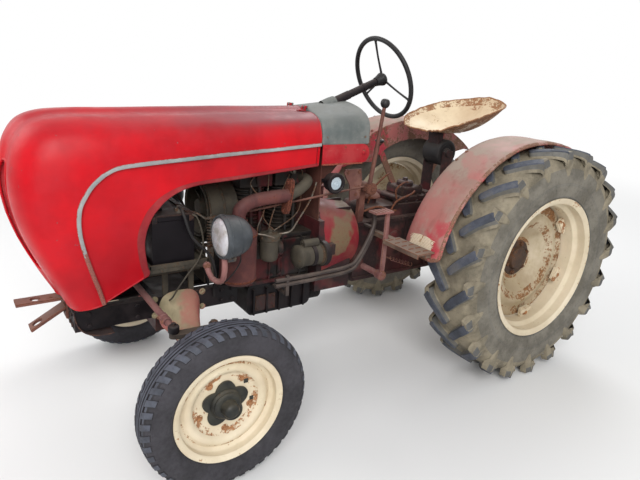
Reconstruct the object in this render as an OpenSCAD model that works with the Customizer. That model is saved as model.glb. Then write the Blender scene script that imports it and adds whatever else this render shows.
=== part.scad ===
// Vintage farm tractor with an open, air-cooled engine.
// X runs forward, Y to the left, Z up; the origin is on the ground under the middle of the tractor.
// Modules place things from the rear axle: x = 0 at the rear axle, y = 0 on the centre plane.

/* [Stance] */
// Distance from the rear axle to the front axle
wheelbase = 1780; // [1740:10:1840]
// Distance between the middles of the rear tyres
rear_track = 1200; // [1190:10:1260]
// Distance between the middles of the front tyres
front_track = 1240; // [1230:10:1280]
// Reach of the nose in front of the rear axle
nose_reach = 2400; // [2390:5:2410]

/* [Rear wheels] */
// Radius of a rear tyre over its lugs
rear_r = 628; // [622:1:634]
// Width of a rear tyre
rear_w = 284; // [276:2:290]
// Height of the lugs over the tread
lug_h = 28; // [20:1:34]
// Pairs of lugs round a rear tyre
lug_n = 20; // [18:1:22]
// Radius of the seat of a rear rim
rear_seat_r = 356; // [352:1:360]
// Width of a rear rim over its flanges
rear_rim_w = 254; // [250:1:258]

/* [Front wheels] */
// Radius of a front tyre
front_r = 331; // [326:1:334]
// Width of a front tyre
front_w = 142; // [134:2:146]
// Radius of the seat of a front rim
front_seat_r = 203; // [200:1:206]
// Width of a front rim over its flanges
front_rim_w = 108; // [104:1:112]

/* [Hood] */
// Thickness of the hood's sheet
sheet = 4; // [3:0.5:6]
// Half width of the hood at its rear edge
hood_rear_y = 222; // [218:1:226]
// Half width of the hood at the cheeks
hood_front_y = 278; // [270:1:284]
// Depth of the valley beside the crest
valley = 16; // [8:1:22]
// Height of the hood's rear edge at the crest
hood_rear_z = 1378; // [1372:1:1384]
// Depth of the trim strip over the side
trim_t = 5; // [4:0.5:8]

/* [Driver] */
// Radius of the steering wheel to the middle of its rim
steer_r = 204; // [195:1:212]
// Thickness of the steering wheel's rim
steer_rim = 24; // [20:1:28]
// Tilt of the steering column over the level
column_tilt = 22; // [20:1:24]
// Half width of the seat pan
seat_y = 235; // [220:1:245]

/* [Fenders] */
// Height of a fender's crown over its tyre
fender_gap = 22; // [20:1:40]
// Radius of a fender in front of its crown
fender_front_r = 668; // [662:1:680]
// Radius of a fender behind its crown
fender_rear_r = 940; // [920:5:960]
// Width of a fender
fender_w = 250; // [230:5:270]
// Radius of the corners at a fender's foot
fender_corner = 45; // [30:1:60]

/* [Hitch and tow points] */
// Radius of the holes in the front tow clevis
tow_hole_r = 17; // [14:0.5:19]
// Radius of the hole in the rear drawbar
drawbar_hole_r = 16; // [12:0.5:18]
// Radius of the power take-off shaft
pto_r = 17.5; // [15:0.5:20]

/* [Hidden] */
$fn = 48;

// The rear axle's place keeps the origin under the middle of the whole length
axle_x = -(nose_reach - rear_r) / 2;
// Running gap between pieces of different bodies that pass each other
run = 0.3;
// Gap between the hood and the cowl behind it
hood_gap = 6;

// Hood stations from the rear edge round the nose to the chin.
// Columns: crest behind the nose, crest z, trim line behind the nose, trim z,
// lower edge behind the nose, lower edge z, share of the front width
hood_table = [
    [1258, hood_rear_z, 1258, 1229, 1258, 1133, 0],
    [1000, 1374, 1030, 1218, 1030, 1117, 0.3],
    [760, 1370, 800, 1208, 820, 1103, 0.6],
    [550, 1365, 610, 1197, 665, 1094, 0.8],
    [369, 1360, 470, 1189, 584, 1075, 0.95],
    [227, 1357, 365, 1179, 530, 1045, 1],
    [138, 1346, 320, 1163, 502, 1018, 1],
    [75, 1318, 288, 1141, 478, 990, 1],
    [34, 1266, 260, 1113, 462, 960, 1],
    [10, 1190, 237, 1078, 450, 930, 1],
    [0, 1110, 219, 1040, 443, 900, 1],
    [6, 1020, 212, 985, 440, 871, 1],
    [27, 925, 216, 925, 442, 835, 1],
    [60, 835, 229, 860, 446, 800, 1],
    [96, 750, 249, 783, 451, 775, 1],
    [128, 685, 266, 725, 456, 760, 1],
    [156, 632, 281, 664, 454, 748, 1]
];
// Profile across the hood from the crest to the lower edge.
// Columns: share of the half width, drop below the crest in mm, way from the crest to the trim line,
// way from the trim line to the lower edge, step inward in mm
hood_profile = [
    [0, 0, 0, 0, 0],
    [0.1, 3, 0, 0, 0],
    [0.22, valley, 0, 0, 0],
    [0.38, valley + 2, 0, 0, 0],
    [0.56, 14, 0.03, 0, 0],
    [0.74, 10, 0.13, 0, 0],
    [0.88, 0, 0.32, 0, 0],
    [0.96, 0, 0.55, 0, 0],
    [1, 0, 0.8, 0, 0],
    [1, 0, 1, 0, 0],
    [1, 0, 1, 0.07, 9],
    [0.99, 0, 1, 0.55, 9],
    [0.98, 0, 1, 1, 9]
];

// The hood's rear edge stays with the cowl, and its stations share out the way from there to the nose
hood_rear_x = 1142;
hood_stretch = (nose_reach - hood_rear_x) / hood_table[0][0];

function hood_half_width(share) = hood_rear_y + (hood_front_y - hood_rear_y) * share;

// A point of the hood's skin: i is the station, j the place in the profile
function hood_point(i, j, inset) =
    let (
        s = hood_table[i],
        p = hood_profile[j],
        crest = [nose_reach - s[0] * hood_stretch, s[1]],
        trim = [nose_reach - s[2] * hood_stretch, s[3]],
        low = [nose_reach - s[4] * hood_stretch, s[5]],
        to_trim = trim - crest,
        base = crest + to_trim * (p[1] + inset * (1 - p[2])) / norm(to_trim),
        upper = base + (trim - base) * p[2],
        at = upper + (low - trim) * p[3]
    )
    [at[0], p[0] * hood_half_width(s[6]) - p[4] - inset * min(1, p[0] * 1.2), at[1]];

hood_rows = len(hood_table);
hood_cols = len(hood_profile);

// Openings of the grille: first and last station, first and last column of the profile
grille_rows = [9, 14];
grille_cols = [1, 3];

// Hinge of the hood: pins over the valleys beside the crest
hinge_x = hood_rear_x + 2;
hinge_z = hood_rear_z + 2;
hinge_y = 66;
hinge_pin_r = 4;
hinge_r = 7;

// Frame rails under the nose
rail_low = 500;
rail_high = 590;
rail_y = 142;
rail_t = 12;
rail_rear_x = 1500;
plate_x = nose_reach - 210;
plate_t = 14;
clevis_half = 32;
clevis_t = 12;
clevis_z = 600;
tow_reach = 114;

// Trays and stands on the rails
tray_y = 248;
tray_z = 742;
tray_t = 20;
muffler_at = [1540, 218];
muffler_top = 920;

// Cowl behind the hood
tank_front = hood_rear_x - hood_gap;
column_len = 250;
steer_centre = [630, 0, 1521];
tank_rear = 866;
tank_low = 1229;
tank_rise = 30;
panel_y = hood_rear_y + 8;
bulkhead_x = 1095;

// Seats of the wheels, measured inward from a tyre's middle
rear_disc_in = 88;
rear_flange_t = 16;
axle_flange_r = 124;

// Fender arcs: both have their centres under the crown, which lies in front of the axle
fender_lead = 45;
fender_top = 2 * rear_r + fender_gap;
fender_inner = rear_track / 2 + 5 - fender_w;
fender_foot_a = 9;
fender_tail_a = 130;
fender_lip = 14;
strap_w = 40;
strap_t = 8;
strap_in = 5;

// Step plates on their bars, just in front of the fenders
step_z = 762;
step_t = 8;
step_x = fender_lead + sqrt(pow(fender_front_r, 2) - pow(step_z - fender_top + fender_front_r, 2)) + 2;
step_bar_x = step_x + 6;

// Front axle and steering
kingpin_y = front_track / 2 - 110;
boss_low = 330;
boss_h = 150;
arm_z = 602;
arm_reach = 150;
arm_in = 20;
side_arm = 120;
drop_arm_len = 150;
drop_x = 1000;
drop_y = 262;
link_z = arm_z + 15 + run;
drop_z = link_z + drop_arm_len;

// Seat
seat_x = 90;
seat_z = 1250;
seat_t = 4;
seat_front = 240;
seat_back = 310;
seat_side_rise = 25;
seat_back_rise = 172;
seat_side_a = 35;
seat_notch = 70;
spring_x = 150;
spring_z = 1130;
spring_r = 72;

// Engine: block, sump and cylinders between the housing and the front frame
engine_rear = 1105;
engine_half = 130;
engine_low = 560;
deck_z = 800;
sump_low = 400;
bore_x = [1215, 1395];
barrel_r = 62;
barrel_h = 225;
fin_r = 84;
fin_t = 6;
fin_gap = 19;
fins = 11;
head_z = deck_z + barrel_h - 1;

// Housing of the clutch, gearbox and rear axle
housing_front_t = 30;
bell_x = 830;
gear_rear = 190;
gear_half = 140;
gear_low = 480;
gear_top = 810;
lid_top = 870;

module at_axle() {
    translate([axle_x, 0, 0]) children();
}

// A round bar from one point to another
module bar(p, q, r) {
    d = q - p;
    translate(p)
        rotate([0, acos(d[2] / norm(d)), atan2(d[1], d[0])])
            cylinder(h = norm(d), r = r);
}

// A round bar through a list of points
module run_bar(points, r) {
    for (i = [0 : len(points) - 2]) bar(points[i], points[i + 1], r);
    for (i = [1 : len(points) - 2]) translate(points[i]) sphere(r = r + 0.4);
}

// Points of a smooth curve through a list of points, with a number of steps between two of them
function curve_point(a, b, c, d, t) =
    0.5 * (2 * b + (c - a) * t + (2 * a - 5 * b + 4 * c - d) * t * t + (3 * b - a - 3 * c + d) * t * t * t);
function curve(points, steps) =
    let (n = len(points))
    concat(
        [for (i = [0 : n - 2]) for (k = [0 : steps - 1])
            let (before = points[max(i - 1, 0)], after = points[min(i + 2, n - 1)])
            curve_point(before, points[i], points[i + 1], after, k / steps)],
        [points[n - 1]]
    );

// A round hose or rod swept along a smooth curve; up is a direction that the curve never takes
module swept(points, r, up = [0.1, 1, 0.13], steps = 5, sides = 10) {
    line = curve(points, steps);
    n = len(line);
    skin = [
        for (i = [0 : n - 1])
            let (
                d = line[min(i + 1, n - 1)] - line[max(i - 1, 0)],
                u = cross(d, up) / norm(cross(d, up)),
                v = cross(d, u) / norm(d)
            )
            for (k = [0 : sides - 1]) line[i] + r * (u * cos(k * 360 / sides) + v * sin(k * 360 / sides))
    ];
    faces = concat(
        [for (i = [0 : n - 2]) for (k = [0 : sides - 1])
            let (a = i * sides + k, b = i * sides + (k + 1) % sides)
            each [[a, b + sides, b], [a, a + sides, b + sides]]],
        [[for (k = [0 : sides - 1]) k], [for (k = [sides - 1 : -1 : 0]) (n - 1) * sides + k]]
    );
    polyhedron(points = skin, faces = faces, convexity = 6);
}

// A box given by its lowest and highest corners
module block(low, high) {
    translate(low) cube(high - low);
}

// A box with rounded edges along Y
module round_block_y(low, high, r) {
    translate([low[0], high[1], low[2]])
        rotate([90, 0, 0])
            linear_extrude(high[1] - low[1])
                translate([r, r])
                    offset(r = r)
                        square([high[0] - low[0] - 2 * r, high[2] - low[2] - 2 * r]);
}

// A block centred on a point
module stud(at, size) {
    translate(at) cube(size, center = true);
}

module along_y(y) {
    translate([0, y, 0]) rotate([-90, 0, 0]) children();
}

module mirror_right(side) {
    if (side > 0) children();
    else mirror([0, 1, 0]) children();
}

module engine_block() {
    color("#2b2826") at_axle()
        block([engine_rear, -engine_half, engine_low], [rail_rear_x, engine_half, deck_z]);
}

module cylinders() {
    color("#3a3733") at_axle()
        for (x = bore_x) translate([x, 0, 0]) {
            translate([0, 0, deck_z]) cylinder(h = barrel_h, r = barrel_r);
            for (k = [0 : fins - 1])
                translate([0, 0, deck_z + 12 + k * fin_gap]) cylinder(h = fin_t, r = fin_r);
            // Head, its fins and the rocker cover
            block([-82, -95, head_z], [82, 95, head_z + 66]);
            for (k = [0 : 3]) block([-76, -88, head_z + 66 + k * 13], [76, 88, head_z + 71 + k * 13]);
            block([-50, -52, head_z + 66], [50, 52, head_z + 144]);
        }
}

module blower_cowl() {
    color("#6f6a58") at_axle() {
        translate([1520, -70, 905]) rotate([0, 90, 0]) {
            difference() {
                cylinder(h = 95, r1 = 112, r2 = 132);
                translate([0, 0, 12]) cylinder(h = 100, r1 = 98, r2 = 122);
            }
            cylinder(h = 88, r = 40);
            for (a = [0 : 40 : 320]) rotate(a) translate([36, -2.5, 30]) rotate([25, 0, 0]) cube([70, 5, 40]);
        }
        // Foot on the front of the engine
        block([rail_rear_x, -120, 700], [1520, -20, 870]);
    }
}

module oil_sump() {
    color("#2a2622") at_axle() {
        round_block_y([engine_rear - 20, -125, sump_low], [1440, 125, engine_low], 30);
        translate([1235, 0, sump_low - 28]) cylinder(h = 30, r = 16);
        for (x = [1130 : 70 : 1410]) for (s = [-1, 1]) stud([x, s * 133, 470], [10, 18, 130]);
    }
}

module clutch_housing() {
    front = engine_rear - housing_front_t;
    color("#8c2f30") at_axle() {
        translate([bell_x, 0, 720]) rotate([0, 90, 0]) cylinder(h = front - bell_x, r1 = 170, r2 = 210);
        block([front, -200, engine_low], [engine_rear, 200, 860]);
        block([bell_x + 30, -150, 470], [front, 150, 620]);
        // Seat of the steering box, and the eye for the starter
        block([drop_x - 60, -215, 700], [drop_x + 60, -100, 824]);
        block([1020, 100, 690], [front, 230, 745]);
    }
}

module gearbox() {
    color("#4a2a28") at_axle() {
        block([gear_rear, -gear_half, gear_low], [bell_x, gear_half, gear_top]);
        round_block_y([250, -110, gear_top], [740, 110, lid_top], 20);
        translate([650, 0, lid_top]) cylinder(h = 36, r = 44);
        translate([650, 0, lid_top + 30]) sphere(r = 34);
        for (x = [290 : 80 : 530]) for (s = [-1, 1]) translate([x, s * 88, lid_top]) cylinder(h = 12, r = 11);
    }
}

module rear_axle() {
    color("#5a2b2a") at_axle() {
        block([-210, -160, 460], [190, 160, 830]);
        for (s = [-1, 1]) mirror_right(s)
            translate([0, 0, rear_r]) along_y(150) {
                reach = rear_track / 2 - rear_disc_in - rear_flange_t - 6 - 150;
                difference() {
                    union() {
                        cylinder(h = 200, r1 = 120, r2 = 92);
                        translate([0, 0, 195]) cylinder(h = 60, r = axle_flange_r);
                        translate([0, 0, 250]) cylinder(h = reach - 250, r = 78);
                    }
                    translate([0, 0, reach - 60]) cylinder(h = 70, r = 38 + run);
                }
            }
    }
}

module front_frame() {
    color("#3b2f2b") at_axle() {
        for (s = [-1, 1]) mirror_right(s) {
            block([rail_rear_x, rail_y - rail_t, rail_low], [plate_x, rail_y, rail_high]);
            block([rail_rear_x, rail_y - 42, rail_low], [plate_x, rail_y, rail_low + 10]);
            block([rail_rear_x, rail_y - 42, rail_high - 10], [plate_x, rail_y, rail_high]);
        }
        // Plate on the engine, plate at the nose, and the saddle on the front axle
        block([rail_rear_x, -rail_y, rail_low], [rail_rear_x + plate_t, rail_y, 700]);
        block([plate_x, -rail_y, rail_low], [plate_x + plate_t, rail_y, rail_high]);
        block([wheelbase - 90, -rail_y, 520], [wheelbase + 90, rail_y, rail_high - 5]);
    }
}

module tow_clevis() {
    foot = plate_x + plate_t;
    color("#7a6a58") at_axle() difference() {
        union() {
            block([foot, -clevis_half, 515], [foot + 10, clevis_half, clevis_z]);
            block([foot, -clevis_half, clevis_z], [nose_reach - 10, clevis_half, clevis_z + clevis_t]);
            translate([foot + 8, -clevis_half, clevis_z - 28]) rotate([0, 30, 0])
                translate([0, 0, -clevis_t]) cube([158, 2 * clevis_half, clevis_t]);
        }
        // One upright axis through both plates, for the drop pin
        translate([foot + tow_reach, 0, 400]) cylinder(h = 250, r = tow_hole_r);
    }
}

module front_axle() {
    color("#5c3a34") at_axle() {
        translate([wheelbase, 0, 0]) {
            translate([-85, -80, 400]) cube([170, 160, 120]);
            for (s = [-1, 1]) mirror_right(s) {
                hull() {
                    translate([-38, 78, 410]) cube([76, 2, 84]);
                    translate([-28, kingpin_y - 46, 372]) cube([56, 8, 62]);
                }
                difference() {
                    union() {
                        translate([0, kingpin_y, boss_low]) cylinder(h = boss_h, r = 36);
                        translate([-28, kingpin_y - 40, 372]) cube([56, 40, 62]);
                    }
                    translate([0, kingpin_y, boss_low - 20]) cylinder(h = boss_h + 40, r = 18 + run);
                }
            }
        }
    }
}

module knuckle_shape() {
    // Origin on the kingpin's axis at ground height
    out = front_track / 2 - kingpin_y;
    foot = 262;
    pin_r = 18;
    translate([0, 0, foot]) cylinder(h = arm_z + 16 - foot, r = pin_r);
    translate([0, 0, foot]) cylinder(h = boss_low - run - foot, r = 36);
    translate([0, 0, boss_low + boss_h + run]) cylinder(h = arm_z - 12 - boss_low - boss_h, r = 34);
    translate([-26, 0, foot]) cube([52, 62, 56]);
    translate([-30, 44, foot]) cube([60, 18, 138]);
    // Spindle
    translate([0, 60, front_r]) rotate([-90, 0, 0]) cylinder(h = out - 98, r = 36);
    translate([0, 60, front_r]) rotate([-90, 0, 0]) cylinder(h = out - 46, r = 22);
    // Arm for the tie rod
    hull() {
        translate([0, 0, arm_z - 24]) cylinder(h = 22, r = 30, $fn = 32);
        translate([arm_reach, -arm_in, arm_z - 20]) cylinder(h = 18, r = 17, $fn = 32);
    }
}

module knuckle_left() {
    color("#3a3631") at_axle() translate([wheelbase, kingpin_y, 0]) {
        knuckle_shape();
    }
}

module knuckle_right() {
    color("#3a3631") at_axle() translate([wheelbase, -kingpin_y, 0]) {
        mirror([0, 1, 0]) knuckle_shape();
        // Arm for the drag link
        hull() {
            translate([0, 0, arm_z - 24]) cylinder(h = 22, r = 28, $fn = 32);
            translate([0, side_arm, arm_z - 20]) cylinder(h = 18, r = 17, $fn = 32);
        }
    }
}

module tie_rod() {
    y = kingpin_y - arm_in;
    color("#b06a62") at_axle() translate([wheelbase + arm_reach, 0, arm_z - 2 + run]) {
        translate([0, 0, 17]) bar([0, -y + 12, 0], [0, y - 12, 0], 13);
        for (s = [-1, 1]) translate([0, s * y, 0]) cylinder(h = 34, r = 20);
    }
}

module drag_link() {
    color("#3a3631") at_axle() {
        front = [wheelbase, -kingpin_y + side_arm, link_z];
        rear = [drop_x, -drop_y - 5 - run - 11, link_z];
        bar(front, rear, 10);
        translate(front - [0, 0, 17]) cylinder(h = 34, r = 19);
        translate(rear - [0, 11, 0]) rotate([-90, 0, 0]) cylinder(h = 22, r = 19);
    }
}

module drop_arm() {
    color("#3a3631") at_axle() translate([drop_x, -drop_y, link_z]) {
        hull() {
            translate([0, -5, 0]) rotate([-90, 0, 0]) cylinder(h = 12, r = 16, $fn = 32);
            translate([0, -5, drop_arm_len]) rotate([-90, 0, 0]) cylinder(h = 12, r = 24, $fn = 32);
        }
        translate([0, -12, drop_arm_len]) rotate([-90, 0, 0]) cylinder(h = 19, r = 14);
    }
}

module steering_box() {
    face = drop_y - 7 - run;
    color("#4a3a34") at_axle()
        translate([drop_x, -face, drop_z]) rotate([-90, 0, 0]) cylinder(h = face - 215, r = 52);
}

module fuel_tank() {
    color("#8b908e") at_axle() difference() {
        union() {
            hull() {
                tank_section(tank_front - 2, hood_rear_z, hood_rear_y);
                tank_section(tank_rear, hood_rear_z + tank_rise, hood_rear_y + 8);
            }
            // Boss that the steering column leaves through
            translate(steer_centre) rotate([0, 90 + column_tilt, 0])
                translate([0, 0, column_len]) cylinder(h = 150, r = 24);
            // Ears of the hood's hinge
            for (s = [-1, 1]) {
                translate([hinge_x, s * hinge_y, hinge_z]) along_y(-5) cylinder(h = 10, r = hinge_r);
                translate([hinge_x - 20, s * hinge_y - 5, hinge_z - 7]) cube([20, 10, 12]);
            }
        }
        for (s = [-1, 1])
            translate([hinge_x, s * hinge_y, hinge_z]) along_y(-20) cylinder(h = 40, r = hinge_pin_r + run);
    }
}

module hood_hinge() {
    leaf_z = hood_rear_z - valley + 0.4;
    color("#a3302c") at_axle()
        for (s = [-1, 1]) translate([hinge_x, s * hinge_y, 0]) {
            translate([0, -15, hinge_z]) rotate([-90, 0, 0]) cylinder(h = 30, r = hinge_pin_r);
            for (t = [-1, 1]) translate([0, t * 11 - 4, 0]) {
                translate([0, 0, hinge_z]) rotate([-90, 0, 0]) cylinder(h = 8, r = hinge_r - 1);
                translate([0, 0, leaf_z]) cube([6, 8, hinge_z - leaf_z]);
            }
            translate([0, -15, leaf_z]) cube([34, 30, 3]);
        }
}

// A thin slice of the tank: its place, crest height and half width
module tank_section(x, top, half) {
    side = [
        [0, tank_low], [1, tank_low], [1, top - 105], [0.97, top - 80], [0.86, top - 48],
        [0.7, top - 28], [0.4, top - 9], [0.15, top], [0, top]
    ];
    translate([x, 0, 0]) rotate([90, 0, 90]) linear_extrude(2)
        for (s = [-1, 1]) polygon([for (p = side) [s * p[0] * half, p[1]]]);
}

module cowl_panels() {
    color("#b8262b") at_axle()
        for (s = [-1, 1]) mirror_right(s)
            translate([0, panel_y, 0]) rotate([90, 0, 0]) linear_extrude(4)
                difference() {
                    union() {
                        translate([910, 1140]) square([tank_front - 910, tank_low - 1140]);
                        translate([910, 1184.5]) circle(r = 44.5);
                    }
                    translate([900, 1190]) circle(r = 9);
                }
}

module tank_supports() {
    wide = panel_y - 4;
    color("#3a2f2b") at_axle() {
        // Bulkhead behind the engine
        block([bulkhead_x, -176, 860], [bulkhead_x + 6, 176, tank_low - 6]);
        // Shelf under the tank, between the side panels
        block([tank_rear + 6, -wide, tank_low - 6], [tank_front, wide, tank_low]);
        for (y = [-150, 144]) translate([bulkhead_x, y + 6, 0]) rotate([90, 0, 0]) linear_extrude(6)
            polygon([[0, tank_low - 6], [-200, tank_low - 6], [0, 1000]]);
    }
}

module steering_column() {
    color("#23211f") at_axle()
        translate(steer_centre) rotate([0, 90 + column_tilt, 0]) translate([0, 0, 52 + run])
            cylinder(h = column_len - 52 - run, r = 19);
}

module steering_wheel() {
    color("#1d1c1b") at_axle() translate(steer_centre) rotate([0, -90 + column_tilt, 0]) {
        rotate_extrude($fn = 96) translate([steer_r, 0]) circle(r = steer_rim / 2);
        translate([0, 0, -52]) cylinder(h = 46, r1 = 22, r2 = 34);
        translate([0, 0, -8]) cylinder(h = 12, r = 30);
        for (a = [0, 120, 240]) rotate(a)
            translate([20, 0, -6]) rotate([0, 90, 0]) cylinder(h = steer_r - 20, r = 5);
    }
}

module control_levers() {
    color("#5b2a28") at_axle() {
        // Hand lever with its pivot and the rod forward to the engine
        bar([826, 205, 1000], [778, 205, 1400], 9);
        translate([776, 205, 1414]) sphere(r = 22);
        block([790, 116, 810], [826, 140, 1020]);
        translate([815, 130, 1000]) rotate([-90, 0, 0]) cylinder(h = 86, r = 26);
        bar([830, 186, 1010], [1491, 186, 941], 5);
        bar([1491, 124, 941], [1491, 192, 941], 6);
        block([1484, 118, 800], [1498, 130, 950]);
        // Gear lever
        bar([650, 0, 934.5], [612, 0, 1186], 7);
        translate([610, 0, 1198]) sphere(r = 20);
    }
}

module side_gauge() {
    color("#c9ccc8") at_axle() {
        translate([1062, 205, 1052]) rotate([-90, 0, 0]) {
            cylinder(h = 34, r = 42);
            translate([0, 0, 34]) difference() {
                cylinder(h = 14, r = 44);
                translate([0, 0, 6]) cylinder(h = 20, r = 31);
            }
        }
        block([1050, 165, 1046], [bulkhead_x, 180, 1060]);
        block([1050, 165, 1046], [1074, 206, 1060]);
    }
}

module exhaust_elbow() {
    color("#7a3f33") at_axle() {
        run_bar([[1160, 95, 1058], [1160, 150, 1058], [1215, 205, 1034], [1312, 222, 1010]], 30);
        translate([1300, 196, 925]) cube([14, 52, 155]);
        run_bar([
            [1312, 222, 1008], [1450, 222, 1000], [1506, 220, 990],
            [muffler_at[0], muffler_at[1], 960], [muffler_at[0], muffler_at[1], muffler_top + run]
        ], 30);
    }
}

module muffler() {
    foot_y = rail_y - rail_t - muffler_at[1];
    color("#7a3a33") at_axle() translate([muffler_at[0], muffler_at[1], 0]) {
        translate([0, 0, 630]) cylinder(h = 24, r1 = 60, r2 = 80);
        translate([0, 0, 654]) cylinder(h = 206, r = 80);
        translate([0, 0, muffler_top - 60]) cylinder(h = 60, r1 = 80, r2 = 34);
        // Stand on the frame rail
        translate([-8, foot_y, rail_high]) cube([16, rail_t, 664 - rail_high]);
        translate([-8, foot_y, 640]) cube([16, 40, 24]);
    }
}

module headlamps() {
    color("#8f9a9c") at_axle()
        for (s = [-1, 1]) mirror_right(s)
            translate([1600, 372, 905]) rotate([0, 90, 0]) {
                rotate_extrude() polygon([
                    [0, 0], [34, 4], [62, 22], [78, 52], [82, 80],
                    [84, 92], [80, 98], [60, 108], [30, 113], [0, 114]
                ]);
            }
}

module lamp_brackets() {
    color("#a4565a") at_axle()
        for (s = [-1, 1]) mirror_right(s) {
            swept([
                [1675, 372, 821.5], [1672, 366, 760], [1668, 340, 710],
                [1676, 310, 693], [1690, 280, 702], [1700, tray_y + 10, 735]
            ], 12, up = [1, 0.1, 0.1], sides = 12);
            translate([1700, tray_y + run, tray_z + 6]) rotate([-90, 0, 0]) cylinder(h = 14, r = 16);
        }
}

module battery() {
    color("#17171a") at_axle() {
        block([1742, -195, tray_z + tray_t], [1916, 225, 948]);
        block([1736, -201, 948], [1922, 231, 968]);
        for (y = [-150, 180]) translate([1790, y, 968]) cylinder(h = 18, r = 10);
    }
}

module battery_tray() {
    color("#6e6a55") at_axle() {
        block([1690, -tray_y, tray_z], [1935, tray_y, tray_z + tray_t]);
        for (x = [1712, 1826]) for (y = [-rail_y, rail_y - rail_t])
            translate([x, y, rail_high]) cube([24, rail_t, tray_z - rail_high]);
    }
}

module battery_cables() {
    color("#1c1c1c") at_axle()
        swept([
            [1790, 180, 992.5], [1796, 222, 991], [1792, 248, 962], [1765, 264, 880], [1690, 272, 790],
            [1664, 262, 700], [1632, 196, 640], [1624, rail_y + 14, 600], [1620, rail_y + 7.5, 550]
        ], 6);
}

module starter() {
    color("#6b6857") at_axle()
        translate([1105, 240, 715]) rotate([0, 90, 0]) {
            cylinder(h = 14, r = 60);
            translate([0, 0, 14]) cylinder(h = 110, r = 50);
            translate([0, -0, 124]) cylinder(h = 12, r = 54);
        }
}

module fuel_filter() {
    color("#76735f") at_axle() {
        translate([1390, 225, 720]) cylinder(h = 100, r = 36);
        translate([1390, 225, 820]) cylinder(h = 22, r = 44);
        block([1376, 130, 770], [1404, 200, 796]);
    }
}

module side_tubes() {
    color("#33302d") at_axle() {
        for (k = [0, 1])
            swept([
                [1370, 262, 622 - k * 26], [1150, 262, 622 - k * 26], [960, 262, 630 - k * 26],
                [890, 256, 670 - k * 26], [800, 236, 800 - k * 26], [780, 214, 868 - k * 20]
            ], 10);
        // Clips to the sump and the housing
        block([1300, 125, 540], [1316, 262, 552]);
        block([1300, 254, 540], [1316, 270, 640]);
        block([770, 140, 790], [790, 226, 802]);
        block([770, 210, 790], [790, 226, 880]);
    }
}

module pedals() {
    color("#8a4440") at_axle()
        for (s = [-1, 1]) mirror_right(s) {
            block([750, 264, 899], [864, 326, 910]);
            // Flat arm from the pad down to the cross shaft
            translate([0, 300, 0]) rotate([90, 0, 0]) linear_extrude(12)
                polygon([[748, 560], [776, 560], [773, 760], [776, 904], [750, 904], [747, 760]]);
            translate([762, 286, 560]) rotate([-90, 0, 0]) cylinder(h = 16, r = 26);
            translate([762, 140, 560]) rotate([-90, 0, 0]) cylinder(h = 170, r = 16);
        }
}

module step_plates() {
    color("#6e5540") at_axle()
        for (s = [-1, 1]) mirror_right(s) {
            block([step_x, 325, step_z], [step_x + 108, 575, step_z + step_t]);
            // Turned-down front edge, bar from the gearbox, and the block that clamps the plate to it
            block([step_x + 103, 325, step_z - 14], [step_x + 108, 575, step_z + step_t]);
            block([step_bar_x, 140, step_z - 24], [step_bar_x + 36, 560, step_z]);
            block([step_bar_x, 400, step_z - 34], [step_bar_x + 62, 480, step_z]);
        }
}

// Front half of a fender: its section swept forward and down from the crown, about a centre under it
module fender_arc(r, sweep) {
    section = [
        [r - fender_lip, 0], [r - fender_lip + 3, 0], [r - 2, 26], [r, 60], [r, fender_w - 30],
        [r - 5, fender_w], [r - 8, fender_w], [r - 3, fender_w - 31], [r - 3, 60], [r - 5, 28]
    ];
    translate([0, fender_inner, fender_top - r])
        rotate([-90, 0, 0]) rotate(-90) rotate_extrude(angle = sweep, $fn = 96) polygon(section);
}

// What is cut off a fender's foot to round one of its corners
module foot_corner() {
    rotate([90, 0, 90]) linear_extrude(60) difference() {
        translate([-5, -5]) square(fender_corner + 5);
        translate([fender_corner, fender_corner]) circle(r = fender_corner + 0.6);
    }
}

// Way from the axle's level, along a strap's edge, to the underside of a fender's arc.
// a is the strap's lean forward, u the edge's place across it
function strap_reach(a, u, r) =
    let (
        d = [sin(a), cos(a)],
        q = u * [cos(a), -sin(a)] - [fender_lead, fender_top - r - rear_r],
        b = d * q
    )
    -b + sqrt(b * b - q * q + pow(r - fender_lip + 3.2, 2));

// Strap from the axle tube's flange to the sheet
module fender_strap(a, r) {
    low = axle_flange_r + run;
    half = strap_w / 2;
    translate([0, fender_inner + strap_in + strap_t, rear_r]) rotate([0, a, 0]) rotate([90, 0, 0])
        linear_extrude(strap_t)
            polygon([
                [-half, low], [half, low], [half, strap_reach(a, half, r)], [-half, strap_reach(a, -half, r)]
            ]);
}

module fenders() {
    color("#a05050") at_axle()
        for (s = [-1, 1]) mirror_right(s) {
            difference() {
                translate([fender_lead, 0, 0]) {
                    fender_arc(fender_front_r, 90 - fender_foot_a);
                    mirror([1, 0, 0]) fender_arc(fender_rear_r, fender_tail_a - 90);
                }
                translate([fender_lead, fender_inner, fender_top - fender_front_r])
                    rotate([0, -fender_foot_a, 0]) translate([fender_front_r - 40, 0, 0]) {
                        foot_corner();
                        translate([0, fender_w, 0]) mirror([0, 1, 0]) foot_corner();
                    }
            }
            fender_strap(32, fender_front_r);
            fender_strap(-32, fender_rear_r);
        }
}

// The seat pan's rim in plan and height, by the angle from the front
function seat_reach(a) =
    let (
        round_x = a > 90 && a < 270 ? seat_back : seat_front,
        lobe = pow(pow(abs(cos(a)) / round_x, 2.8) + pow(abs(sin(a)) / seat_y, 2.8), -1 / 2.8),
        off_front = min(a, 360 - a)
    )
    lobe - (off_front < 24 ? seat_notch * (1 + cos(off_front * 7.5)) / 2 : 0);
function seat_rise(a) =
    let (off_front = min(a, 360 - a), off_side = off_front - seat_side_a)
    off_side < 0
        ? seat_side_rise * off_front / seat_side_a
        : seat_side_rise + seat_back_rise * pow(off_side / (180 - seat_side_a), 0.73);

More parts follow.
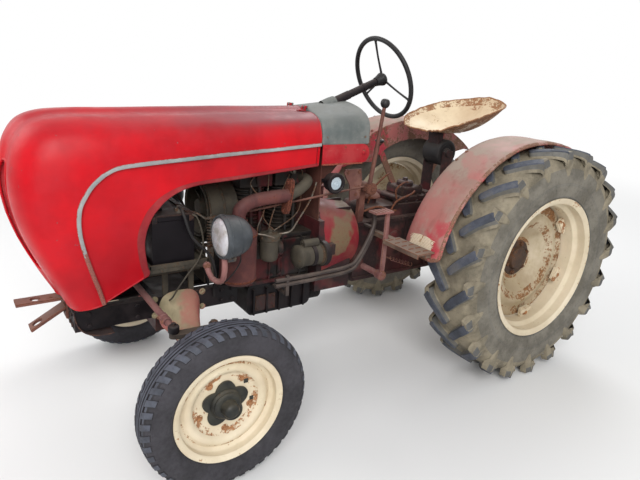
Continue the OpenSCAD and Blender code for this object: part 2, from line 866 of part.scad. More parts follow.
module seat_pan() {
    steps = 48;
    rings = [0.3, 0.55, 0.78, 0.93, 1];
    n = len(rings) * steps;
    points = [
        for (layer = [0, 1])
            each concat(
                [[0, 0, -layer * seat_t]],
                [for (t = rings) for (k = [0 : steps - 1])
                    let (a = k * 360 / steps, r = seat_reach(a) * t)
                    [r * cos(a), r * sin(a), seat_rise(a) * pow(t, 2.4) - layer * seat_t]]
            )
    ];
    lower = n + 1;
    function at(layer, ring, k) = layer * lower + 1 + ring * steps + (k % steps);
    faces = [
        for (k = [0 : steps - 1])
            each concat(
                [[0, at(0, 0, k + 1), at(0, 0, k)], [lower, at(1, 0, k), at(1, 0, k + 1)]],
                [for (g = [0 : len(rings) - 2]) each [
                    [at(0, g, k), at(0, g, k + 1), at(0, g + 1, k + 1)],
                    [at(0, g, k), at(0, g + 1, k + 1), at(0, g + 1, k)],
                    [at(1, g, k), at(1, g + 1, k + 1), at(1, g, k + 1)],
                    [at(1, g, k), at(1, g + 1, k), at(1, g + 1, k + 1)]
                ]],
                [[at(0, len(rings) - 1, k), at(0, len(rings) - 1, k + 1), at(1, len(rings) - 1, k + 1)],
                 [at(0, len(rings) - 1, k), at(1, len(rings) - 1, k + 1), at(1, len(rings) - 1, k)]]
            )
    ];
    color("#c9b694") at_axle()
        translate([seat_x, 0, seat_z]) polyhedron(points = points, faces = faces, convexity = 6);
}

module seat_bracket() {
    color("#8e2f33") at_axle() {
        // Pedestal from the gearbox to the rubber spring
        for (s = [-1, 1]) translate([110, s * 70 - 5, 830]) cube([80, 10, 310]);
        translate([spring_x, 0, spring_z]) {
            along_y(-58) cylinder(h = 116, r = spring_r);
            along_y(-84) cylinder(h = 168, r = 22);
        }
        // Channel that carries the pan
        hull() {
            translate([spring_x + 20, -40, spring_z + 20]) cube([30, 80, 30]);
            translate([seat_x + 80, -40, seat_z - seat_t - 34]) cube([40, 80, 30]);
        }
        translate([seat_x - 60, -40, seat_z - seat_t - run - 6]) cube([180, 80, 6]);
    }
}

module drawbar() {
    color("#4b3a33") at_axle() difference() {
        union() {
            block([-470, -40, 380], [-60, 40, 405]);
            block([-120, -60, 380], [-60, 60, 460]);
        }
        translate([-430, 0, 360]) cylinder(h = 60, r = drawbar_hole_r);
    }
}

module pto_shaft() {
    color("#8a8680") at_axle() {
        translate([-330, 0, 600]) rotate([0, 90, 0]) cylinder(h = 100, r = pto_r);
        translate([-230, 0, 600]) rotate([0, 90, 0]) cylinder(h = 20, r = 46);
    }
}

// Hood: points of the outer layer (0) and the inner layer (1), right side first
hood_across = 2 * hood_cols - 1;
function hood_index(i, k, layer) = (layer * hood_rows + i) * hood_across + k;
function hood_side(i, k, inset) =
    let (j = abs(k - hood_cols + 1), p = hood_point(i, j, inset))
    [p[0], k < hood_cols - 1 ? -p[1] : p[1], p[2]];
// Whether the sheet covers the cell after station i and place k
function hood_closed(i, k) =
    let (j = k >= hood_cols - 1 ? k - hood_cols + 1 : hood_cols - 2 - k)
    i >= 0 && i < hood_rows - 1 && k >= 0 && k < hood_across - 1
    && !(i >= grille_rows[0] && i < grille_rows[1] && j >= grille_cols[0] && j < grille_cols[1]);
function hood_wall(i1, k1, i2, k2) =
    [hood_index(i2, k2, 0), hood_index(i1, k1, 0), hood_index(i1, k1, 1), hood_index(i2, k2, 1)];

module hood_shell() {
    points = [
        for (layer = [0, 1]) for (i = [0 : hood_rows - 1]) for (k = [0 : hood_across - 1])
            hood_side(i, k, layer * sheet)
    ];
    faces = [
        for (i = [0 : hood_rows - 2]) for (k = [0 : hood_across - 2])
            if (hood_closed(i, k))
                each concat(
                    [
                        [hood_index(i, k, 0), hood_index(i + 1, k, 0), hood_index(i + 1, k + 1, 0)],
                        [hood_index(i, k, 0), hood_index(i + 1, k + 1, 0), hood_index(i, k + 1, 0)],
                        [hood_index(i, k, 1), hood_index(i + 1, k + 1, 1), hood_index(i + 1, k, 1)],
                        [hood_index(i, k, 1), hood_index(i, k + 1, 1), hood_index(i + 1, k + 1, 1)]
                    ],
                    hood_closed(i, k - 1) ? [] : [hood_wall(i, k, i + 1, k)],
                    hood_closed(i + 1, k) ? [] : [hood_wall(i + 1, k, i + 1, k + 1)],
                    hood_closed(i, k + 1) ? [] : [hood_wall(i + 1, k + 1, i, k + 1)],
                    hood_closed(i - 1, k) ? [] : [hood_wall(i, k + 1, i, k)]
                )
    ];
    color("#c4201f") at_axle() polyhedron(points = points, faces = faces, convexity = 8);
}

module hood_trim() {
    // A flat strip laid on the hood's side along the trim line
    wide = 9;
    n = hood_rows;
    line = [for (i = [0 : n - 1]) hood_point(i, hood_cols - 4, 0)];
    out = [for (i = [0 : n - 1])
        let (d = line[min(i + 1, n - 1)] - line[max(i - 1, 0)], m = norm([d[0], d[2]]))
        [d[2] / m * wide, -d[0] / m * wide]];
    points = [
        for (i = [0 : n - 1])
            each [for (c = [[-1, 0.25], [1, 0.25], [0.6, trim_t], [-0.6, trim_t]])
                line[i] + [out[i][0] * c[0], c[1], out[i][1] * c[0]]]
    ];
    faces = concat(
        [for (i = [0 : n - 2]) for (k = [0 : 3]) each [
            [i * 4 + k, i * 4 + (k + 1) % 4, (i + 1) * 4 + (k + 1) % 4],
            [i * 4 + k, (i + 1) * 4 + (k + 1) % 4, (i + 1) * 4 + k]
        ]],
        [[3, 2, 1, 0], [for (k = [0 : 3]) (n - 1) * 4 + k]]
    );
    color("#9aa0a0") at_axle()
        for (s = [-1, 1]) mirror_right(s) polyhedron(points = points, faces = faces, convexity = 6);
}

// A strip behind the hood's skin along one column of the profile, drawn from the side
module grille_strip(j, y, wide, deep) {
    front = [for (i = [grille_rows[0] - 1 : grille_rows[1] + 1])
        let (p = hood_point(i, j, sheet)) [p[0] - 1, p[2]]];
    back = [for (i = [len(front) - 1 : -1 : 0]) front[i] - [deep, 0]];
    translate([0, y + wide, 0]) rotate([90, 0, 0]) linear_extrude(wide) polygon(concat(front, back));
}

module front_grille() {
    edge = grille_cols[1];
    side_y = hood_profile[edge][0] * hood_front_y;
    skin = [for (i = [grille_rows[1] + 1 : -1 : grille_rows[0] - 1])
        let (p = hood_point(i, edge, sheet)) [p[2], p[0]]];
    color("#7e1a1c") at_axle() {
        for (s = [-1, 1]) mirror_right(s) grille_strip(edge, side_y - 2, 10, 14);
        grille_strip(1, -22, 44, 26);
        for (z = [768 : 28 : 1176])
            translate([lookup(z, skin) - 15, -side_y, z]) cube([13, 2 * side_y, 4]);
    }
}

// Wheels, drawn about their own centres with the axle along Y.
// Both halves of a tyre's section from one half, which runs from the seat to the crown
function both_halves(half) =
    concat([for (p = half) [p[0], -p[1]]], [for (i = [len(half) - 1 : -1 : 0]) half[i]]);

module rear_tyre_shape() {
    half = rear_w / 2;
    tread_r = rear_r - lug_h;
    bead = rear_rim_w / 2 - 15;
    section = [
        [rear_seat_r, bead], [rear_seat_r + 7, bead + 6.2], [rear_seat_r + 25, bead + 9],
        [rear_seat_r + 44, half - 12], [rear_seat_r + 110, half], [rear_seat_r + 180, half - 2],
        [tread_r - 22, half - 14], [tread_r - 4, half - 60], [tread_r, half - 110]
    ];
    rotate([90, 0, 0]) rotate_extrude($fn = 96) polygon(both_halves(section));
    // Lugs, cut to the round of the tread
    intersection() {
        for (k = [0 : lug_n - 1]) for (s = [-1, 1])
            rotate([0, (k + (s > 0 ? 0.5 : 0)) * 360 / lug_n, 0]) mirror_right(s) lug();
        rotate([90, 0, 0]) rotate_extrude($fn = 96) polygon(both_halves([
            [tread_r - 60, half + 2], [rear_r - 16, half - 2.5], [rear_r - 5, half - 11],
            [rear_r - 1, half - 30], [rear_r, half - 80]
        ]));
    }
}

module lug() {
    half = rear_w / 2;
    swing = 96;
    base = rear_r - lug_h - 40;
    translate([0, 0, base]) linear_extrude(lug_h + 50)
        polygon([[66, 6], [26, 6], [-50, half - 57], [-swing, half - 5], [-50, half - 5], [-8, half - 57]]);
}

module rear_rim_shape() {
    half = rear_rim_w / 2;
    r = rear_seat_r - run;
    // Half of the rolled section from the flange to the well, outside and inside: rise over the seat, place
    outside = [[24, half], [24, half - 5], [6, half - 8], [0, half - 14], [0, half - 50], [-24, half - 66]];
    inside = [[18, half], [0, half - 3], [-6, half - 12], [-6, half - 52], [-30, half - 68]];
    rotate([90, 0, 0]) rotate_extrude($fn = 96) rim_section(r, outside, inside);
    for (a = [0 : 60 : 300]) rotate([0, a, 0])
        translate([-34, -8, r - 78]) cube([68, 14, 50]);
}

// A rim's closed section from the two lines of its half
module rim_section(r, outside, inside) {
    line = concat(both_halves(outside), [for (p = both_halves(inside)) [p[0], -p[1]]]);
    polygon([for (p = line) [r + p[0], p[1]]]);
}

module rear_disc_shape() {
    r = rear_seat_r - run - 36;
    rotate([90, 0, 0]) {
        rotate_extrude($fn = 96) polygon([
            [0, rear_disc_in - 10], [112, rear_disc_in - 10], [150, 58], [185, 20], [225, 2], [r - 34, 12],
            [r, 8], [r, 16], [r - 36, 20], [228, 10], [190, 28], [156, 67],
            [116, rear_disc_in], [0, rear_disc_in]
        ]);
        // Drive flange and shaft
        translate([0, 0, rear_disc_in]) cylinder(h = rear_flange_t, r = 95);
        translate([0, 0, rear_disc_in]) cylinder(h = rear_flange_t + 56, r = 38);
        translate([0, 0, rear_disc_in - 22]) cylinder(h = 20, r = 42);
        for (a = [0 : 60 : 300]) rotate(a) translate([82, 0, rear_disc_in - 26]) cylinder(h = 20, r = 12);
    }
}

module front_tyre_shape() {
    half = front_w / 2;
    bead = front_rim_w / 2 - 12;
    section = [
        [front_seat_r, bead], [front_seat_r + 5.5, bead + 5.2], [front_seat_r + 19.5, bead + 7.2],
        [front_seat_r + 30, half - 8], [front_seat_r + 62, half], [front_seat_r + 96, half - 6],
        [front_r - 8, half - 20], [front_r - 2, half - 34], [front_r - 2, half - 42],
        [front_r - 10, half - 44], [front_r - 10, half - 49], [front_r - 1, half - 51],
        [front_r, half - 60], [front_r - 9, half - 61], [front_r - 9, half - 65]
    ];
    rotate([90, 0, 0]) rotate_extrude($fn = 96) polygon(both_halves(section));
}

module front_rim_shape() {
    half = front_rim_w / 2;
    r = front_seat_r - run;
    outside = [[19, half], [19, half - 4], [5, half - 6], [0, half - 11], [0, half - 30], [-16, half - 40]];
    inside = [[14, half], [0, half - 2], [-5, half - 9], [-5, half - 32], [-21, half - 42]];
    rotate([90, 0, 0]) rotate_extrude($fn = 96) rim_section(r, outside, inside);
    // Disc with its wheel bolts' holes
    difference() {
        rotate([90, 0, 0]) rotate_extrude($fn = 96) polygon([
            [70, 0], [110, -4], [140, -16], [165, -14], [r - 21, 0],
            [r - 21, 8], [165, -6], [138, -8], [108, 4], [70, 8]
        ]);
        for (a = [0 : 72 : 288]) rotate([0, a, 0])
            translate([0, 0, 92]) rotate([90, 0, 0]) cylinder(h = 60, r = 9, center = true);
    }
}

module front_hub_shape() {
    rotate([90, 0, 0]) {
        difference() {
            union() {
                translate([0, 0, 8]) cylinder(h = 12, r = 84);
                translate([0, 0, -34]) cylinder(h = 66, r = 46);
                translate([0, 0, -62]) cylinder(h = 30, r1 = 30, r2 = 38);
            }
            translate([0, 0, -20]) cylinder(h = 60, r = 22 + run);
        }
    }
}

module place_rear(s) {
    at_axle() translate([0, s * rear_track / 2, rear_r]) mirror_right(s) children();
}

module place_front(s) {
    at_axle() translate([wheelbase, s * front_track / 2, front_r]) mirror_right(s) children();
}

module front_tyre_left() { color("#26272a") place_front(1) front_tyre_shape(); }
module front_rim_left() { color("#d8cdb4") place_front(1) front_rim_shape(); }
module front_hub_left() { color("#2e332f") place_front(1) front_hub_shape(); }
module front_tyre_right() { color("#26272a") place_front(-1) front_tyre_shape(); }
module front_rim_right() { color("#d8cdb4") place_front(-1) front_rim_shape(); }
module front_hub_right() { color("#2e332f") place_front(-1) front_hub_shape(); }
module rear_tyre_left() { color("#4c4b45") place_rear(1) rear_tyre_shape(); }
module rear_rim_left() { color("#d8cdb4") place_rear(1) rear_rim_shape(); }
module rear_disc_left() { color("#cdbfa2") place_rear(1) rear_disc_shape(); }
module rear_tyre_right() { color("#4c4b45") place_rear(-1) rear_tyre_shape(); }
module rear_rim_right() { color("#d8cdb4") place_rear(-1) rear_rim_shape(); }
module rear_disc_right() { color("#cdbfa2") place_rear(-1) rear_disc_shape(); }

engine_block();
cylinders();
blower_cowl();
oil_sump();
clutch_housing();
gearbox();
rear_axle();
front_frame();
tow_clevis();
front_axle();
fuel_tank();
cowl_panels();
steering_column();
steering_box();
control_levers();
side_gauge();
exhaust_elbow();
muffler();
headlamps();
lamp_brackets();
battery();
battery_tray();
battery_cables();
starter();
fuel_filter();
side_tubes();
pedals();
step_plates();
fenders();
seat_pan();
seat_bracket();
drawbar();
pto_shaft();
tank_supports();
hood_shell();
hood_trim();
hood_hinge();
front_grille();
steering_wheel();
drop_arm();
drag_link();
knuckle_left();
knuckle_right();
tie_rod();
front_tyre_left();
front_rim_left();
front_hub_left();
front_tyre_right();
front_rim_right();
front_hub_right();
rear_tyre_left();
rear_rim_left();
rear_disc_left();
rear_tyre_right();
rear_rim_right();
rear_disc_right();
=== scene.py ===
# Looks of a vintage farm tractor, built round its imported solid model.
# The model's frame is kept: X forward, Y to the left, Z up, in metres.
# Sizes below are millimetres measured from the rear axle's centre line, at ground height.
import math

import bmesh
import bpy
from mathutils import Matrix, Vector, noise


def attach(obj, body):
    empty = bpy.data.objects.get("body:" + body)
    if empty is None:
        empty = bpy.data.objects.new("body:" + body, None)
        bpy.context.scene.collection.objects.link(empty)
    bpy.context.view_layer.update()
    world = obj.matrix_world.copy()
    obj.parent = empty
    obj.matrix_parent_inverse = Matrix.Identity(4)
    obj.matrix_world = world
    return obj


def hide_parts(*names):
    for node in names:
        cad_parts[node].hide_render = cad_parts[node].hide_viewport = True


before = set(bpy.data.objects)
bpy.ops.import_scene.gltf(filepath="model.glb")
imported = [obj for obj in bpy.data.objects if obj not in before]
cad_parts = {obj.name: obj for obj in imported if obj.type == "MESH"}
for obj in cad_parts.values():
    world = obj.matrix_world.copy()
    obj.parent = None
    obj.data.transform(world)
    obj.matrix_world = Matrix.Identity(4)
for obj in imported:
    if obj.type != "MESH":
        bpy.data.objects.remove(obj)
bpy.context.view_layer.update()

# Place of the rear axle in the model's frame, in metres
AXLE_X = -0.886
WHEELBASE = 1780
REAR_TRACK, REAR_R, REAR_W, REAR_SEAT_R, REAR_RIM_W = 1200, 628, 284, 356, 254
FRONT_TRACK, FRONT_R, FRONT_W, FRONT_SEAT_R, FRONT_RIM_W = 1240, 331, 142, 203, 108
LUGS = 20
NOSE = 2400
FENDER_LEAD, FENDER_TOP, FENDER_INNER, FENDER_W = 45, 1278, 355, 250
FENDER_FRONT_R, FENDER_REAR_R, FENDER_FOOT_A, FENDER_TAIL_A = 668, 940, 9, 130
# Lengths of a fender's two arcs, and how far down its inner side sheet reaches
FENDER_FRONT_ARC, FENDER_REAR_ARC, SHEET_R = 944, 656, 520
# Worn patch of the left fender: from and to, way along the arc and across
PATCH_WAY, PATCH_Y = (0.035, 0.115), (400, 545)
STEER_CENTRE = Vector((630, 0, 1521))
COLUMN_TILT, WHEEL_RIM_R = math.radians(22), 204
COWL_FRONT, COWL_REAR, COWL_LOW = 1136, 866, 1229
LAMP_AT = (1600, 372, 905)
MUFFLER_X, MUFFLER_Y = 1540, 218
BORES = (1215, 1395)
PUMP_XS = (1355, 1415)
STARTER_Y, STARTER_Z = 240, 715
FILTER_X, FILTER_Y = 1390, 225
BELL_Z = 720
LEVER_Y = 205
TIE_ROD_X, TIE_ROD_Z = 1930, 617.3
SEAT_AT, SEAT_Z = 90, 1250
SEAT_FRONT, SEAT_BACK, SEAT_Y, SEAT_NOTCH = 240, 310, 235, 70
SEAT_SIDE_A, SEAT_SIDE_RISE, SEAT_BACK_RISE = 35, 25, 172
X, Y, Z = Vector((1, 0, 0)), Vector((0, 1, 0)), Vector((0, 0, 1))
SIDES = (("left", 1), ("right", -1))
# Camera: yaw, pitch and roll in degrees, place in metres, lens and sensor width in millimetres
CAMERA_TURN, CAMERA_AT, CAMERA_LENS = (35.416, 18.050, 4.135), (1.67469, 2.26019, 1.58950), (31.0, 36.0)
# Where the lights aim, and from where to where the floor fades, in metres
LIGHT_AIM = Vector((0, 0, 0.7))
FADE_FROM, FADE_TO = 2.2, 9.0


def metres(p):
    """A point in millimetres from the rear axle, in the model's frame."""
    return Vector((p[0] / 1000 + AXLE_X, p[1] / 1000, p[2] / 1000))


def add_camera():
    """The camera at the photograph's viewing angle."""
    yaw, pitch, roll = (math.radians(a) for a in CAMERA_TURN)
    forward = Vector((-math.sin(yaw) * math.cos(pitch), -math.cos(yaw) * math.cos(pitch), -math.sin(pitch)))
    right = Vector((-math.cos(yaw), math.sin(yaw), 0))
    up = right.cross(forward)
    right, up = right * math.cos(roll) + up * math.sin(roll), up * math.cos(roll) - right * math.sin(roll)
    data = bpy.data.cameras.new("camera")
    data.lens, data.sensor_width = CAMERA_LENS
    data.clip_end = 200
    camera = bpy.data.objects.new("camera", data)
    turn = Matrix((right, up, -forward)).transposed().to_4x4()
    camera.matrix_world = Matrix.Translation(Vector(CAMERA_AT)) @ turn
    bpy.context.scene.collection.objects.link(camera)
    bpy.context.scene.camera = camera


# ---- Materials


def shade(red, green, blue):
    """A display colour, 0 to 255, as linear values."""
    def linear(v):
        v /= 255
        return v / 12.92 if v <= 0.04045 else ((v + 0.055) / 1.055) ** 2.4
    return linear(red), linear(green), linear(blue), 1.0


def add_node(tree, kind, inputs, **settings):
    """A new node with its settings, its inputs linked or given a value."""
    node = tree.nodes.new("ShaderNode" + kind)
    for key, value in settings.items():
        setattr(node, key, value)
    for key, source in inputs.items():
        join(tree, source, node.inputs[key])
    return node


def join(tree, source, target):
    """Links a socket to an input, or gives the input a value."""
    if isinstance(source, bpy.types.NodeSocket):
        tree.links.new(source, target)
    else:
        target.default_value = source


class Finish:
    """One layered procedural material."""

    def __init__(self, name, specular, metallic=0.0):
        self.material = bpy.data.materials.new(name)
        self.material.use_nodes = True
        self.material.diffuse_color = (0.5, 0.5, 0.5, 1)
        self.tree = self.material.node_tree
        self.shader = self.tree.nodes["Principled BSDF"]
        self.shader.inputs["Metallic"].default_value = metallic
        self.shader.inputs["Specular IOR Level"].default_value = specular
        self.place = self.add("TexCoord", {}).outputs["Object"]

    def add(self, kind, inputs, **settings):
        return add_node(self.tree, kind, inputs, **settings)

    def noise(self, scale, detail, rough, stretch=(1, 1, 1), shift=0.0):
        moved = (shift, shift * 0.7, shift * 1.3)
        mapping = self.add("Mapping", {"Scale": stretch, "Location": moved, "Vector": self.place})
        return self.add("TexNoise", {"Vector": mapping.outputs[0], "Scale": scale, "Detail": detail,
                                     "Roughness": rough}).outputs["Fac"]

    def cells(self, scale):
        """Distance to the nearest border of irregular cells."""
        inputs = {"Vector": self.place, "Scale": scale}
        return self.add("TexVoronoi", inputs, feature="DISTANCE_TO_EDGE").outputs["Distance"]

    def span(self, value, low, high, out_low=0.0, out_high=1.0):
        """The value's way from low to high, smooth and clamped."""
        inputs = {"Value": value, "From Min": low, "From Max": high, "To Min": out_low, "To Max": out_high}
        return self.add("MapRange", inputs, interpolation_type="SMOOTHSTEP").outputs["Result"]

    def math(self, operation, a, b):
        clamped = operation in ("ADD", "SUBTRACT")
        return self.add("Math", {0: a, 1: b}, operation=operation, use_clamp=clamped).outputs[0]

    def mix(self, share, a, b):
        return self.add("Mix", {"Factor": share, 6: a, 7: b}, data_type="RGBA").outputs[2]

    def along(self):
        """The way along the tractor, in metres."""
        return self.add("SeparateXYZ", {0: self.place}).outputs["X"]

    def attribute(self, name):
        return self.add("Attribute", {}, attribute_name=name).outputs["Fac"]

    def facing_up(self):
        normal = self.add("NewGeometry", {}).outputs["Normal"]
        return self.add("SeparateXYZ", {0: normal}).outputs["Z"]

    def bump(self, height, strength, distance):
        node = self.add("Bump", {"Strength": strength, "Distance": distance, "Height": height})
        join(self.tree, node.outputs[0], self.shader.inputs["Normal"])

    def finish(self, colour, roughness):
        join(self.tree, colour, self.shader.inputs["Base Color"])
        join(self.tree, roughness, self.shader.inputs["Roughness"])
        return self.material


def weathered(
    name, base, dark, fade, dust, rust, fading, dusting, rusting, edges, scratches, streaks, rough, grain,
    metallic=0.0, scale=1.0, specular=0.28, dust_from=None, patches=None
):
    """Old paint or metal: uneven colour, faded patches, dust on top, rust in chips, runs and edges.
    dust_from gives the length of the tractor over which the dust grows, patches a second paint's
    colour and share."""
    f = Finish(name, specular, metallic)
    broad = f.noise(2.3 * scale, 5, 0.6)
    patch = f.noise(9 * scale, 7, 0.65, shift=3.1)
    fine = f.noise(70 * scale, 6, 0.7, shift=1.7)
    speck = f.noise(260, 3, 0.6, shift=5.2)
    colour = f.mix(f.span(broad, 0.32, 0.68), shade(*dark), shade(*base))
    colour = f.mix(f.math("MULTIPLY", f.span(patch, 0.42, 0.66), fading), colour, shade(*fade))
    if patches:
        blot = f.span(f.noise(5.5 * scale, 3, 0.5, shift=11.3), 0.54 - patches[1] * 0.16,
                      0.62 - patches[1] * 0.16)
        blot = f.math("MULTIPLY", blot, f.span(fine, 0.36, 0.5, 0.6, 0.92))
        colour = f.mix(blot, colour, shade(*patches[0]))
    # Dust settles where the surface faces up
    up = f.span(f.facing_up(), 0.15, 0.95)
    settled = f.math("MULTIPLY", f.math("MULTIPLY", up, f.span(patch, 0.2, 0.62, 0.55, 1.0)), dusting)
    if dust_from:
        settled = f.math("MULTIPLY", settled, f.span(f.along(), *dust_from, 0.12, 1.0))
    colour = f.mix(settled, colour, shade(*dust))
    if streaks:
        run = f.span(f.noise(16 * scale, 5, 0.6, (1, 1, 0.1), 2.2), 0.54, 0.72)
        colour = f.mix(f.math("MULTIPLY", run, streaks), colour, shade(*dark))
    if scratches:
        line = f.span(f.noise(30, 2, 0.5, (0.5, 9, 4), 7.1), 0.66, 0.7)
        line = f.math("MULTIPLY", line, f.span(patch, 0.5, 0.6))
        colour = f.mix(f.math("MULTIPLY", line, scratches), colour, shade(*fade))
        # Small stone chips with pale rims
        chip = f.span(f.noise(48, 2, 0.5, shift=13.7), 0.735, 0.75)
        colour = f.mix(f.math("MULTIPLY", chip, scratches), colour, shade(*dust))
    # Rust: chips where the noise is high, more of them on edges and on marked faces
    worn = f.math("ADD", f.math("MULTIPLY", f.attribute("edge"), edges * 0.3),
                  f.math("MULTIPLY", f.attribute("tone"), 0.35))
    level = f.math("ADD", f.math("MULTIPLY", fine, 0.45), f.math("MULTIPLY", patch, 0.55))
    level = f.math("ADD", level, worn)
    bare = f.span(level, 0.74 - rusting * 0.3, 0.79 - rusting * 0.3)
    oxide = f.mix(f.span(speck, 0.35, 0.65), shade(*rust[0]), shade(*rust[1]))
    colour = f.mix(f.math("MULTIPLY", bare, 0.9), colour, oxide)
    gloss = f.math("ADD", f.span(patch, 0.3, 0.7, rough[0], rough[1]), f.math("MULTIPLY", bare, 0.25))
    relief = f.math("ADD", f.math("MULTIPLY", fine, 0.6), f.math("MULTIPLY", bare, -0.5))
    relief = f.math("ADD", relief, f.math("MULTIPLY", speck, 0.25))
    f.bump(relief, grain, 0.0015)
    return f.finish(colour, gloss)


def rubber(name, top, gap, side):
    """Tyre rubber: tread faces, the gaps between them, and the side walls, by the tone of a face."""
    f = Finish(name, specular=0.35)
    patch = f.noise(7, 6, 0.65)
    fine = f.noise(60, 6, 0.7, shift=2.4)
    speck = f.noise(300, 2, 0.6, shift=4.4)
    tone = f.attribute("tone")
    low_dust = f.mix(f.span(patch, 0.35, 0.68), shade(*gap), shade(*[c * 0.68 for c in gap]))
    wall = f.mix(f.span(patch, 0.35, 0.65), shade(*side), shade(*[c * 0.76 for c in side]))
    colour = f.mix(f.span(tone, 0.2, 0.5), low_dust, wall)
    face = f.mix(f.span(patch, 0.35, 0.62), shade(*[c * 0.7 for c in top]), shade(*top))
    colour = f.mix(f.span(tone, 0.6, 0.95), colour, face)
    dusty = f.math("MULTIPLY", f.span(patch, 0.5, 0.7), 0.4)
    colour = f.mix(dusty, colour, shade(*[c * 0.8 for c in gap]))
    colour = f.mix(f.math("MULTIPLY", f.span(fine, 0.54, 0.7), 0.3), colour, shade(44, 42, 42))
    scuff = f.math("MULTIPLY", f.attribute("edge"), f.span(fine, 0.4, 0.6, 0.2, 0.7))
    colour = f.mix(scuff, colour, shade(*side))
    # Fine cracks and moulded grain
    crack = f.span(f.cells(46), 0.0, 0.05)
    colour = f.mix(f.math("MULTIPLY", f.math("SUBTRACT", 1.0, crack), f.span(patch, 0.52, 0.64, 0.0, 0.2)),
                   colour, shade(34, 32, 33))
    f.bump(f.math("ADD", f.math("MULTIPLY", fine, 0.7), f.math("MULTIPLY", speck, 0.3)), 0.4, 0.002)
    return f.finish(colour, f.span(fine, 0.3, 0.7, 0.62, 0.88))


def glass_like(name):
    """A dusty lamp lens with a ribbed look."""
    f = Finish(name, specular=0.6)
    patch = f.noise(22, 5, 0.6)
    colour = f.mix(f.span(patch, 0.35, 0.7), shade(196, 196, 200), shade(150, 146, 140))
    rib = f.add("TexWave", {"Scale": 60, "Vector": f.place}, bands_direction="Y")
    f.bump(rib.outputs["Fac"], 0.4, 0.001)
    return f.finish(colour, f.span(patch, 0.3, 0.7, 0.12, 0.4))


